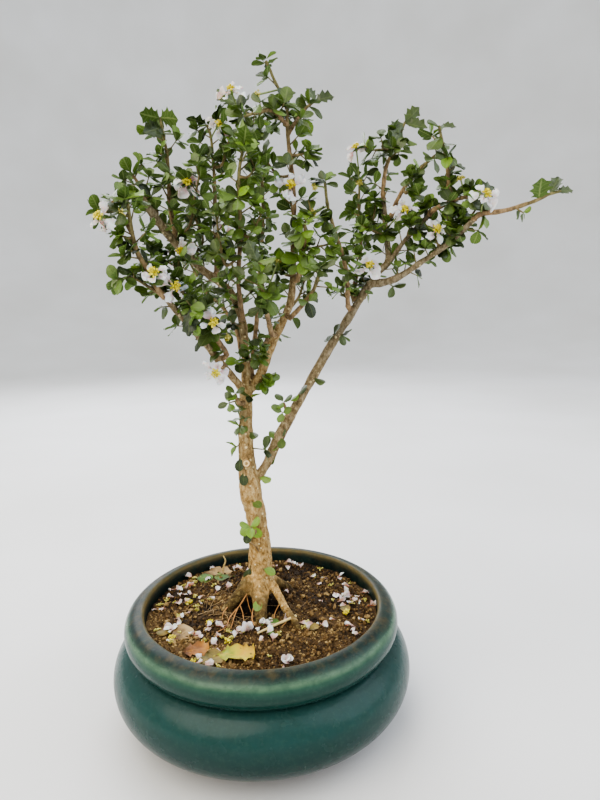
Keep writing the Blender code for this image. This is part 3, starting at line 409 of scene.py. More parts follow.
def makeStudio(spec):
    # round floor that rises to a wall in one quarter circle: the profile is turned round Z
    rise = np.linspace(0, math.pi / 2, 20)
    radius = np.concatenate([spec["middle"], spec["flat"] + spec["bend"] * np.sin(rise)])
    height = np.concatenate([[0, 0], spec["bend"] * (1 - np.cos(rise))])
    radius, height = np.append(radius, radius[-1]), np.append(height, spec["height"])
    angle = np.linspace(0, turn, spec["spokes"], endpoint=False)
    points = np.stack([radius[:, None] * np.cos(angle), radius[:, None] * np.sin(angle),
                       height[:, None] + 0 * angle], -1).reshape(-1, 3)
    mesh = bpy.data.meshes.new("floor")
    mesh.from_pydata(points.tolist(), [], gridQuads(len(radius), spec["spokes"], True).tolist()
                     + [list(range(spec["spokes"]))[::-1]])
    mesh.polygons.foreach_set("use_smooth", np.ones(len(mesh.polygons), bool))
    floor = bpy.data.objects.new("floor", mesh)
    bpy.context.scene.collection.objects.link(floor)
    material, add, shader = newMaterial("mattPaperSweep", {"Roughness": 0.8})
    paper = add("Mix", [objectNoise(add, 220.0, 2.0), spec["floorColour"], spec["wallColour"]],
                data_type="RGBA")
    material.node_tree.links.new(paper, shader.inputs["Base Color"])
    mesh.materials.append(material)
    world = bpy.data.worlds.new("softRoom")
    world.use_nodes = True
    shade = world.node_tree.nodes["Background"]
    shade.inputs["Color"].default_value = linearColour(spec["ambient"])
    shade.inputs["Strength"].default_value = spec["ambientStrength"]
    bpy.context.scene.world = world
    bpy.context.scene.view_settings.look = spec["look"]
    for name, light in spec["lights"].items():
        lamp = bpy.data.objects.new(name, bpy.data.lights.new(name, "AREA"))
        lamp.data.shape = "DISK"
        lamp.data.size = light["size"]
        lamp.data.energy = light["power"]
        lamp.data.color = linearColour(light["colour"])[:3]
        place = np.array(light["place"])
        behind = unit(place - np.array(spec["lightsAim"]))
        side = unit(np.cross(up, behind))
        placeObject(lamp, [side, np.cross(behind, side), behind], place)


makeCamera(cameraView)
makeStudio(studio)
print("camera and studio made")


# Pot. The same rolls and foot as the solid, turned finely.

pot = dict(radius=75.0, bellyHeight=24.0, bellyHalf=14.3, bellyRoll=13.3, rimRadius=60.2,
           rimHeight=48.2, rimRoll=8.4, lipRadius=58.6, footRadius=52.0, footWidth=6.5,
           footRecess=3.5, floor=5.5, wall=7.0, drain=7.0, shoulderHalf=16.2,
           waist=[(66.1, 39.3), (64.9, 40.1), (64.0, 40.4)], segments=192, wobble=0.15,
           wobblePeriod=40.0, wobbleRing=30.0, evenFoot=12.0)


def ellipse(centre, radii, start, end, count):
    # stretch of an ellipse from a start to an end in degrees, from +X towards +Z
    angles = np.radians(np.linspace(start, end, count))
    return np.stack([centre[0] + radii[0] * np.cos(angles), centre[1] + radii[1] * np.sin(angles)], -1)


def potStretches(spec):
    # the profile as named stretches of (radius, height), from the drain hole up and out
    floor = spec["footRecess"] + spec["floor"]
    foot, width = spec["footRadius"], spec["footWidth"]
    low = spec["bellyHeight"] - spec["bellyHalf"]
    belly = (spec["radius"] - spec["bellyRoll"], spec["bellyHeight"])
    return dict(
        base=[(spec["drain"], spec["footRecess"]), (20, spec["footRecess"]),
              (foot - width - 0.6, spec["footRecess"]), (foot - width, 0.25), (foot - width + 0.3, 0),
              (foot - 0.5, 0), (foot, 0.5), (foot + 0.8, low - 3.4), (foot + 1.5, low - 1.6),
              (foot + 5.0, low - 0.4)],
        belly=np.vstack([ellipse(belly, (spec["bellyRoll"], spec["bellyHalf"]), -78, 0, 24),
                         ellipse(belly, (spec["bellyRoll"], spec["shoulderHalf"]), 4, 66, 22),
                         spec["waist"]]),
        roll=ellipse((spec["rimRadius"], spec["rimHeight"]), (spec["rimRoll"],) * 2, -60, 92, 34),
        lip=[(spec["lipRadius"] + 0.6, spec["rimHeight"] + 7.9),
             (spec["lipRadius"], spec["rimHeight"] + 6.6)],
        inside=np.vstack([[(spec["lipRadius"], spec["rimHeight"] + 3.0),
                           (spec["lipRadius"], spec["rimHeight"] - 6.0)],
                          ellipse((spec["rimRadius"], spec["bellyHeight"]),
                                  (spec["radius"] - spec["wall"] - spec["rimRadius"],
                                   spec["bellyHalf"] - 2.0), 62, -60, 12),
                          [(foot - 6.0, floor), (20, floor), (spec["drain"], floor)]]))


def glazeMaterial(marks):
    # Stoneware under a teal reduction glaze: satin and even on the belly, its lower part darker as
    # painted shade, thin and pale green where it breaks over the roll, that pale band partly a painted
    # highlight, slate on the rim's top, brown at the lip, clay at the foot.
    material, add, shader = newMaterial("tealStonewareGlaze", {
        "IOR": 1.45, "Specular IOR Level": 0.27})
    run = bladeAxes(add)[1]
    drift = add("Math", [objectNoise(add, 13.0, 4.0), 0.010, -0.005], operation="MULTIPLY_ADD")
    belly, roll, lip, inside = [marks[k] for k in ("belly", "roll", "lip", "inside")]
    span = lip - roll
    zones = add("ValToRGB", [add("Math", [run, drift], operation="ADD")], [
        # from the clay up the belly: the glaze is painted darker towards the foot, as shade
        (belly - 0.012, "#5f4630"), (belly - 0.004, "#0b1c1c"), (belly + 0.040, "#0e2624"),
        (belly + 0.10, "#1b3d39"), (roll - 0.06, "#254844"), (roll - 0.012, "#2a4946"),
        (roll + span * 0.03, "#284641"), (roll + span * 0.20, "#1c3d36"),
        # the pale band from 0.50 to 0.61 of the roll: glaze breaking pale, with a painted highlight laid
        # in
        (roll + span * 0.40, "#1d3f36"), (roll + span * 0.50, "#355848"),
        (roll + span * 0.57, "#5f7d62"), (roll + span * 0.61, "#66836a"),
        (roll + span * 0.68, "#2b4138"), (roll + span * 0.77, "#171f1f"),
        (lip - 0.005, "#2a2a1c"), (lip + 0.001, "#86713f"), (lip + 0.005, "#5a4f30"),
        (lip + 0.014, "#141c1c")])
    mottle = add("ValToRGB", [objectNoise(add, 4.5, 5.0, 0.62)], [(0.42, black), (0.62, white)])
    specks = add("ValToRGB", [objectNoise(add, 1.6, 4.0, 0.65)], [(0.50, black), (0.70, white)])
    worn = add("ValToRGB", [objectNoise(add, 5.0, 5.0, 0.7)], [(0.46, black), (0.66, white)])
    onTop = add("ValToRGB", [run], [(roll + span * 0.62, black), (roll + span * 0.78, white),
                                    (lip, white), (inside + 0.01, black)])
    wornTop = add("Math", [worn, onTop], operation="MULTIPLY")
    chipped = add("ValToRGB", [cellDistance(add, 21.0)], [(0.022, white), (0.030, black)])
    colour = tinted(add, zones, (objectNoise(add, 34.0, 2.0), 0.45, "#10302f"),
                    (mottle, 0.34, "#1d3d35"), (specks, 0.12, "#4d6a5a"),
                    (wornTop, 0.45, "#5c4f30"), (chipped, 0.7, "#b9c3b6"))
    satin = add("ValToRGB", [run], [(belly - 0.012, "#d8d8d8"), (belly, "#8a8a8a"),
                                    (roll, "#868686"), (roll + span * 0.5, "#7a7a7a"),
                                    (roll + span * 0.75, "#9c9c9c"), (lip, "#b4b4b4")])
    uneven = add("Math", [objectNoise(add, 7.0, 4.0), 0.26, -0.13], operation="MULTIPLY_ADD")
    roughness = add("Math", [satin, uneven], operation="ADD")
    material.node_tree.links.new(roughness, shader.inputs["Roughness"])
    pits = add("Math", [specks, 0.2], operation="MULTIPLY")
    height = add("Math", [objectNoise(add, 6.0, 2.0), pits], operation="ADD")
    coverSurface(add, shader, colour, height, 0.22, 0.5)
    return material


def makePot(spec):
    # the profile turned round the axis, its radius uneven by slow waves of the wobble's height.
    # Each stretch's mark is the share of the profile's length where it begins.
    stretches = potStretches(spec)
    profile = np.vstack([np.asarray(s, float) for s in stretches.values()])
    lengths = pathLengths(profile)
    first, marks = 0, {}
    for name, stretch in stretches.items():
        marks[name] = lengths[first] / lengths[-1]
        first += len(stretch)
    angle = np.linspace(0, turn, spec["segments"], endpoint=False)
    height = profile[:, 1, None]
    circle = np.stack(np.broadcast_arrays(spec["wobbleRing"] * np.cos(angle),
                                          spec["wobbleRing"] * np.sin(angle), height), -1)
    wave = waves(circle.reshape(-1, 3), spec["wobblePeriod"], 5).reshape(len(profile), -1)
    fade = np.clip((height - spec["evenFoot"]) / 10, 0, 1)
    radius = profile[:, 0, None] - spec["wobble"] * fade * (1 + wave) / 2
    points = np.stack([radius * np.cos(angle), radius * np.sin(angle),
                       np.broadcast_to(height, radius.shape)], -1)
    count = spec["segments"]
    ring = np.arange(count)
    last = (len(profile) - 1) * count
    closing = np.stack([last + ring, last + np.roll(ring, -1), np.roll(ring, -1), ring], -1)
    uv = np.stack(np.meshgrid(lengths / lengths[-1], angle / turn, indexing="ij"), -1)[..., ::-1]
    part = makePart(points, np.vstack([gridQuads(len(profile), count, True), closing]), None, uv)
    addPiece("glazed_pot", [part], [glazeMaterial(marks)], ["pot"])


makePot(pot)
print("pot glazed")


def screenMaterial():
    # Moulded black polypropylene: even, with the faint grain of its mould.
    material, add, shader = newMaterial("mouldedBlackPolypropylene", {"Roughness": 0.45})
    colour = add("Mix", [objectNoise(add, 3.0), "#141615", "#24282a"], data_type="RGBA")
    coverSurface(add, shader, colour, objectNoise(add, 0.8), 0.1, 0.5)
    return material


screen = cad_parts["drain_screen"]
screen.data.materials.clear()
screen.data.materials.append(screenMaterial())


# Soil: a relief of fine grit, hollowed under the roots, with loose grains on it.

# the hollows' tone is how far painted shade darkens the soil in them
soil = dict(level=49.6, grain=0.7, rings=72, spokes=200, gap=0.4, middle=0.4, sunk=0.35,
            screenTop=11.1, reach=57.0, pebbleReach=54.0, litterReach=54.0, tone=0.50,
            hollowShadeStrength=0.42, patches=(26.0, 31, 0.13), grainPower=2.6, grainTone=0.22,
            mound=[((-1, 4), 17.0 * math.sqrt(2), 1.6)], lumps=((2.4, 21, 0.34), (5.5, 22, 0.38)),
            grains=7300, grainSize=(0.30, 0.95), seed=11, pebbles=90, pebbleSize=(1.0, 1.9),
            hollows=[((-6.8, -1.5), 4.6, 6.0), ((5.6, -0.5), 3.8, 5.5), ((13.2, 30.6), 2.6, 3.4),
                     ((26, -13), 3.0, 1.6), ((-27, 4), 4.0, 1.4), ((-13, -9), 3.0, 1.4)],
            banks=[((-9, 19), 9.0, 3.0), ((11, 17), 8.0, 3.2), ((-17, 4), 5.5, 3.0),
                   ((-23, -3), 5.0, 1.2)])


def dips(x, y, spots):
    # bell-shaped dips, each its depth in the middle and gone at about two radii
    return sum(depth * np.exp(-((x - cx) ** 2 + (y - cy) ** 2) / (radius ** 2))
               for (cx, cy), radius, depth in spots)


def soilHeight(x, y):
    # the solid's low mound at the tree and its three crossed waves, levelled at the pot's
    # wall, then hollowed under the roots and banked up behind them
    grain = (np.sin(0.55 * x + 1.3) * np.cos(0.47 * y - 0.4) + 0.6 * np.sin(0.31 * x - 0.9 * y)
             + 0.5 * np.cos(1.1 * x + 0.6 * y))
    edge = np.clip((pot["lipRadius"] - np.hypot(x, y)) / 8.0, 0, 1)
    return (soil["level"] + dips(x, y, soil["mound"]) * edge + soil["grain"] * 0.5 * grain * edge
            - dips(x, y, soil["hollows"]) + dips(x, y, soil["banks"]))


def soilTone(x, y):
    # painted shade darkens the soil in the hollows; it is paler towards the front, and drier and
    # paler in slow patches elsewhere
    flat = np.stack([x, y, 0 * x], -1).reshape(-1, 3)
    period, seed, share = soil["patches"]
    patches = waves(flat, period, seed).reshape(np.shape(x)) * share
    # paler towards the front, a little more so on the left
    paleTowardsFront = -0.025 - 0.10 * np.clip((0.3 * x + 1.8 * y) / 60, -1, 1)
    # painted shade, deepest in the middle of each hollow
    paintedHollowShade = soil["hollowShadeStrength"] * dips(x, y, soil["hollows"])
    return np.clip(soil["tone"] + paleTowardsFront + patches - paintedHollowShade, 0, 1)


def gritMaterial(name, dark, middle, light):
    # Fired and crushed loam: dull, each grain its own brown, with a dusty lighter skin.
    material, add, shader = newMaterial(name, {"Roughness": 0.93, "IOR": 1.42})
    fine = add("Math", [objectNoise(add, 1.5, 6.0, 0.78), 1.1, -0.34], operation="MULTIPLY_ADD")
    both = add("Math", [add("Attribute", attribute_name="tone"), 0.72, fine],
               operation="MULTIPLY_ADD")
    colour = add("ValToRGB", [both], [(0.05, "#0c0703"), (0.34, dark), (0.60, middle),
                                      (0.95, light)])
    coverSurface(add, shader, colour, objectNoise(add, 0.6, 4.0, 0.7), 0.4, 0.9)
    return material


def makeSoil(spec):
    # rings of relief from the wall to the middle, closed below by the pot's inner profile
    angle = np.linspace(0, turn, spec["spokes"], endpoint=False)
    outer = pot["lipRadius"] - spec["gap"]
    radius = np.linspace(outer, spec["middle"], spec["rings"])[:, None]
    x, y = radius * np.cos(angle), radius * np.sin(angle)
    flat = np.stack([x, y, 0 * x], -1).reshape(-1, 3)
    fine = sum(waves(flat, period, seed) * height for period, seed, height in spec["lumps"])
    top = np.stack([x, y, soilHeight(x, y) + fine.reshape(x.shape) - spec["sunk"]], -1)
    wall = [(spec["middle"], spec["screenTop"]), (pot["footRadius"] - 7, spec["screenTop"]),
            (pot["radius"] - pot["wall"] - 1, pot["bellyHeight"]), (outer, pot["rimHeight"] - 6.0)]
    below = [np.stack([r * np.cos(angle), r * np.sin(angle), np.full_like(angle, z)], -1)
             for r, z in wall]
    rows = np.concatenate([np.array(below), top])
    points = np.vstack([rows.reshape(-1, 3), [[0, 0, spec["screenTop"]],
                                              [0, 0, float(top[-1, :, 2].mean())]]])
    ring = np.arange(spec["spokes"])
    last = len(rows) * spec["spokes"]
    tris = np.vstack([fanTris(ring, last, True), fanTris(last - spec["spokes"] + ring, last + 1)])
    tone = np.append(soilTone(rows[..., 0], rows[..., 1]).ravel() - 0.1, [0.3, 0.4])
    body = makePart(points, gridQuads(len(rows), spec["spokes"], True), tris, None, tone)
    addPiece("soil_bed", [body], [gritMaterial("dampFineGrit", "#271b0d", "#543f22", "#8d7147")],
             ["soil"])


def scatterOnSoil(count, rng, reach):
    # even over the disc: the radius goes with the square root of a uniform draw
    radius, angle = reach * np.sqrt(rng.uniform(0, 1, count)), rng.uniform(0, turn, count)
    return radius * np.cos(angle), radius * np.sin(angle)


def makeGrains(spec):
    # most grains are near the smallest size: a uniform draw to a power spreads them up from it
    rng = np.random.RandomState(spec["seed"])
    x, y = scatterOnSoil(spec["grains"], rng, spec["reach"])
    least, most = spec["grainSize"]
    radius = rng.uniform(0, 1, len(x)) ** spec["grainPower"] * (most - least)
    sizes = (radius + least)[:, None] * rng.uniform(0.65, 1.2, (len(x), 3))
    z = soilHeight(x, y) - 0.15 + 0.3 * sizes.mean(1)
    tones = np.clip(soilTone(x, y) + rng.normal(0, spec["grainTone"], len(x)), 0, 1)
    grains = beadParts(np.stack([x, y, z], -1), sizes, tones, 12, 2, 6)
    x, y = scatterOnSoil(spec["pebbles"], rng, spec["pebbleReach"])
    sizes = rng.uniform(*spec["pebbleSize"], (len(x), 3)) * (1.0, 0.8, 0.55)
    z = soilHeight(x, y) + 0.2 + 0.25 * sizes.mean(1)
    tones = rng.uniform(0.45, 0.95, len(x))
    pebbles = beadParts(np.stack([x, y, z], -1), sizes, tones, 13, 4, 8)
    addPiece("grit_grains", [grains, pebbles], [
        gritMaterial("crushedBrownGrit", "#32220f", "#664c2a", "#b39a68")], flat=True)


makeSoil(soil)
makeGrains(soil)
print("soil laid")


# Wood: the same trunk, roots and limbs as the solid, (key points, first and last radius)

trunk = dict(points=[(-1, 8, 56), (-0.8, 8, 66), (-0.6, 8, 80), (-1.7, 7, 96), (-3.9, 6, 109),
                     (-4.9, 6, 117), (-5.8, 6, 127), (-6, 7, 143), (-5, 8, 165)],
             radii=[6.4, 6.1, 5.9, 5.2, 5.3, 5.2, 4.3, 3.6, 3.3])

bigRoots = dict(
    left=([(-3, 7, 64), (-9, 4, 59), (-15, 1, 54), (-19, -1, 50), (-20, -1, 43)], 3.0, 2.3),
    middle=([(-1, 6, 64), (-1, 0, 58), (-1, -7, 54), (-0.5, -13, 50), (0, -14, 43)], 4.0, 2.7),
    right=([(2, 7, 65), (7, 1, 59.5), (12, -9, 54), (17, -19, 50.5), (18.6, -22, 44)], 2.4, 1.2),
    backLeft=([(-3, 10, 62), (-8, 16, 57), (-12, 21, 51), (-13, 23, 43)], 2.6, 1.8),
    backRight=([(2, 10, 62), (9, 14, 57), (15, 18, 51), (17, 19, 43)], 2.6, 1.8))

limbs = dict(
    rightLimb=([(-3, 6, 116), (4, 8, 125), (13, 12, 142), (25, 16, 161), (38, 20, 182),
                (50, 22, 200), (59, 22, 214)], 2.8, 2.0),
    rightArm=([(58, 22, 213), (71, 18, 216), (84, 10, 225), (93, 2, 232), (102, -6, 242)], 1.9, 1.2),
    rightRise=([(59, 22, 213), (64, 23, 220), (69, 25, 226), (68, 28, 241), (68, 34, 257)], 1.9, 1.2),
    rightReach=([(69, 24, 224), (76, 18, 235), (85, 8, 246)], 1.3, 1.0),
    leftLimb=([(-5, 8, 161), (-11, 2, 170), (-16, -6, 178), (-22, -12, 187), (-30, -18, 198),
               (-38, -24, 209)], 2.1, 1.3),
    stubLimb=([(-5, 8, 163), (-5, 12, 182), (-7, 14, 201), (-13, 12, 212), (-25, 8, 222),
               (-37, 2, 235), (-45, -6, 247), (-51, -12, 255)], 2.3, 1.7),
    leader=([(-5, 8, 162), (1, 9, 168), (8, 8, 185), (16, 4, 202), (18, 2, 211), (19, 0, 234)],
            2.4, 1.4))

wood = dict(voxel=0.44, smoothing=4, step=2.0, sides=20, relief=0.22, smoothFrom=175.0,
            ridges=((0.22, 4.2, 61, 0.5), (0.5, 1.9, 62, 0.3), (1.0, 1.3, 63, 0.2)),
            swellPeriod=11.0, limbSwell=0.10, trunkSwell=0.035, ageShares=12, agePower=-8.0,
            knob=[(-4.2, 6.0, 125.5), (-7.2, 5.0, 126.5), (-9.2, 4.4, 127.1)],
            knobRadii=(2.6, 2.6, 1.9), flareShare=0.5,
            flare=dict(left=0.95, middle=0.50, right=0.10, backLeft=0.5, backRight=0.3),
            scarFrom=(-5.2, 5.0, 126.4), scarAt=(-5.8, 0.9, 127.5), scarRadii=(2.6, 2.5, 1.9),
            scarRings=((1.0, 0.0), (0.92, 0.55), (0.78, 0.62), (0.55, 0.38), (0.30, 0.34),
                       (0.08, 0.34)))

# How the bark ages along each: from 0, old tan bark, to 1, young grey; below 0 soil clings to it
barkAge = dict(trunk=(-0.03, 0.48), left=(-0.40, -1.0), middle=(-0.10, -0.90), right=(0.15, -0.75),
               backLeft=(-0.3, -1.0), backRight=(-0.3, -1.0), rightLimb=(0.60, 0.95),
               rightArm=(0.85, 1.0), rightRise=(0.85, 1.0), rightReach=(0.9, 1.0),
               leftLimb=(0.50, 1.0), stubLimb=(0.55, 1.0), leader=(0.25, 0.85))


def limbPath(name, step=2.0):
    # its smooth centre line, and the radius at each of that line's points
    if name == "trunk":
        path = smoothPath(trunk["points"], step)
        return path, np.interp(path[:, 2], [p[2] for p in trunk["points"]], trunk["radii"])
    points, first, last = {**limbs, **bigRoots}[name]
    path = smoothPath(points, step)
    return path, np.linspace(first, last, len(path))


def fuseTubes(parts, spec):
    # one skin round all the tubes: they are read into a voxel grid, skinned and smoothed
    whole = joinParts(parts)
    mesh = bpy.data.meshes.new("tubes")
    mesh.from_pydata(whole["points"].tolist(), [], whole["quads"].tolist() + whole["tris"].tolist())
    shell = bpy.data.objects.new("tubes", mesh)
    bpy.context.scene.collection.objects.link(shell)
    remesh = shell.modifiers.new("skin", "REMESH")
    remesh.mode = "VOXEL"
    remesh.voxel_size = spec["voxel"]
    relax = shell.modifiers.new("relax", "SMOOTH")
    relax.factor = 0.5
    relax.iterations = spec["smoothing"]
    skinned = bpy.data.meshes.new_from_object(
        shell.evaluated_get(bpy.context.evaluated_depsgraph_get()))
    points = np.zeros(len(skinned.vertices) * 3, np.float32)
    skinned.vertices.foreach_get("co", points)
    normals = np.zeros(len(points), np.float32)
    skinned.vertices.foreach_get("normal", normals)
    faces = np.zeros(len(skinned.loops), np.int32)
    skinned.loops.foreach_get("vertex_index", faces)
    bpy.data.objects.remove(shell)
    return points.reshape(-1, 3).astype(float), normals.reshape(-1, 3).astype(float), faces


def barkMaterial():
    # Living bark, thin and unfurrowed: dry tan with pale raised pores on the trunk, greyer
    # and darker on the young limbs, coated with soil where the roots go in.
    material, add, shader = newMaterial("thinTanBark", {"Roughness": 0.88, "IOR": 1.40})
    tone = add("Attribute", attribute_name="tone")
    age = add("Math", [objectNoise(add, 14.0), 0.3, add("Math", [tone, -0.15], operation="ADD")],
              operation="MULTIPLY_ADD")
    depth = add("Math", [tone, -1.5, -1.05], operation="MULTIPLY_ADD")
    clung = add("Math", [objectNoise(add, 3.0, 5.0, 0.7), 1.6, depth], operation="MULTIPLY_ADD")
    stain = add("ValToRGB", [clung], [(0.0, black), (0.55, white)])
    streaks = objectNoise(add, 1.7, 6.0, 0.72, (1, 1, 0.5))
    old = add("ValToRGB", [streaks], [(0.33, "#5f4823"), (0.44, "#a3804a"), (0.55, "#c6a56c"),
                                      (0.70, "#e2c994")])
    young = add("ValToRGB", [streaks], [(0.30, "#3a3225"), (0.46, "#6c624d"), (0.60, "#918772"),
                                        (0.76, "#b4aa94")])
    patches = add("ValToRGB", [objectNoise(add, 6.0, 4.0)], [(0.46, black), (0.64, white)])
    bark = tinted(add, add("Mix", [age, old, young], data_type="RGBA"), (patches, 0.30, "#7b6a4c"))
    dots = add("ValToRGB", [cellDistance(add, 3.2)], [(0.17, white), (0.23, black)])
    small = add("ValToRGB", [cellDistance(add, 1.8)], [(0.14, white), (0.24, black)])
    spread = add("ValToRGB", [objectNoise(add, 7.0)], [(0.38, "#707070"), (0.56, white)])
    faint = add("Math", [small, 0.36], operation="MULTIPLY")
    pores = add("Math", [dots, faint], operation="MAXIMUM")
    patchy = add("Math", [pores, spread], operation="MULTIPLY")
    fading = add("Math", [age, -0.45, 1.0], operation="MULTIPLY_ADD")
    shown = add("Math", [patchy, fading], operation="MULTIPLY")
    pored = add("Mix", [shown, bark, "#f7e4b2"], data_type="RGBA")
    soiled = add("ValToRGB", [objectNoise(add, 1.5, 6.0, 0.75)], [
        (0.32, "#241a0c"), (0.50, "#554424"), (0.66, "#85754a")])
    raised = add("Math", [pores, 0.6], operation="MULTIPLY")
    height = add("Math", [raised, streaks], operation="ADD")
    coverSurface(add, shader, add("Mix", [stain, pored, soiled], data_type="RGBA"), height, 0.5)
    return material


def makeWood(spec):
    # fused tubes, pushed out along their normals by long shallow ridges and a finer grain.
    # A point's age is the mean of the ages of the path points, weighed by (distance / radius)^-8.
    parts, spots, sizes, ages = [], [], [], []
    for i, name in enumerate(["trunk"] + list(bigRoots) + list(limbs)):
        path, radii = limbPath(name, spec["step"])
        share = np.linspace(0, 1, len(path))
        if name in bigRoots:
            radii = radii * (1 + spec["flare"][name] * np.clip(1 - share / spec["flareShare"], 0, 1))
        spots.append(path)
        sizes.append(radii)
        ages.append(barkAge[name][0] + share * (barkAge[name][1] - barkAge[name][0]))
        share = spec["limbSwell"] if name in limbs else spec["trunkSwell"]
        swell = waves(path, spec["swellPeriod"], 40 + i) * share
        parts.append(tubePart(path, radii * (1 + swell), spec["sides"], rough=0.05, period=6.0,
                              seed=i))
    cut = [spec["scarFrom"], np.add(spec["scarFrom"], spec["scarAt"]) / 2, spec["scarAt"]]
    for line, radii in ((spec["knob"], spec["knobRadii"]), (cut, spec["scarRadii"])):
        parts.append(tubePart(np.array(line), radii, 14))
    points, normals, faces = fuseTubes(parts, spec)
    ridges = sum(waves(points * (1, 1, stretch), period, seed) * share
                 for stretch, period, seed, share in spec["ridges"])
    thick = np.clip((spec["smoothFrom"] - points[:, 2]) / 60, 0.30, 1)
    spots, sizes, ages = np.vstack(spots), np.concatenate(sizes), np.concatenate(ages)
    tone = np.empty(len(points))
    for some in np.array_split(np.arange(len(points)), spec["ageShares"]):
        far = np.linalg.norm(points[some, None] - spots, axis=2) / sizes
        weight = far ** spec["agePower"]
        tone[some] = (weight * ages).sum(1) / weight.sum(1)
    points = points + normals * (ridges * thick * spec["relief"])[:, None]
    part = makePart(points, faces.reshape(-1, 4), None, None, tone)
    addPiece("bark", [part], [barkMaterial()], ["tree"], sharp=180.0)


def cutWoodMaterial():
    # Weathered cut: its rings stand out from pale sapwood to the browned rim.
    material, add, shader = newMaterial("weatheredCutWood", {"Roughness": 0.8})
    rings = add("Math", [objectNoise(add, 1.0), 0.12, bladeAxes(add)[1]], operation="MULTIPLY_ADD")
    colour = add("ValToRGB", [rings], [(0.10, "#b08a5c"), (0.30, "#e2c796"), (0.55, "#d3b27e"),
                                       (0.72, "#f0dcb0"), (0.96, "#a37b4c")])
    coverSurface(add, shader, colour, objectNoise(add, 0.5), 0.2, 0.8)
    return material


def makeScar(spec):
    # healed pruning cut: a low disc facing out, its rings bulged into a callus near the rim
    centre, start = np.array(spec["scarAt"], float), np.array(spec["scarFrom"], float)
    facing = unit(centre - start)
    share, rise = np.array(spec["scarRings"]).T
    angle = np.linspace(0, -turn, 24, endpoint=False)
    rings = (centre + facing * (0.25 + rise[:, None, None])
             + spec["scarRadii"][-1] * share[:, None, None] * spokes(facing, angle, up))
    count = len(angle)
    points = np.vstack([rings.reshape(-1, 3), centre + facing * 0.6, centre - facing * 0.4])
    ring = np.arange(count)
    last = len(share) * count
    tris = np.vstack([fanTris(last - count + ring, last, True), fanTris(ring, last + 1)])
    uv = np.repeat(np.append(share, [0, 1]), [count] * len(share) + [1, 1])
    part = makePart(points, gridQuads(len(share), count, True)[:, ::-1], tris,
                    np.stack([uv, uv], -1), 0.5)
    addPiece("pruning_scar", [part], [cutWoodMaterial()])


makeWood(wood)
makeScar(wood)
print("wood grown")


# Leafy stems: the same shoots and spurs as the solids, with the leaves that those leave out.

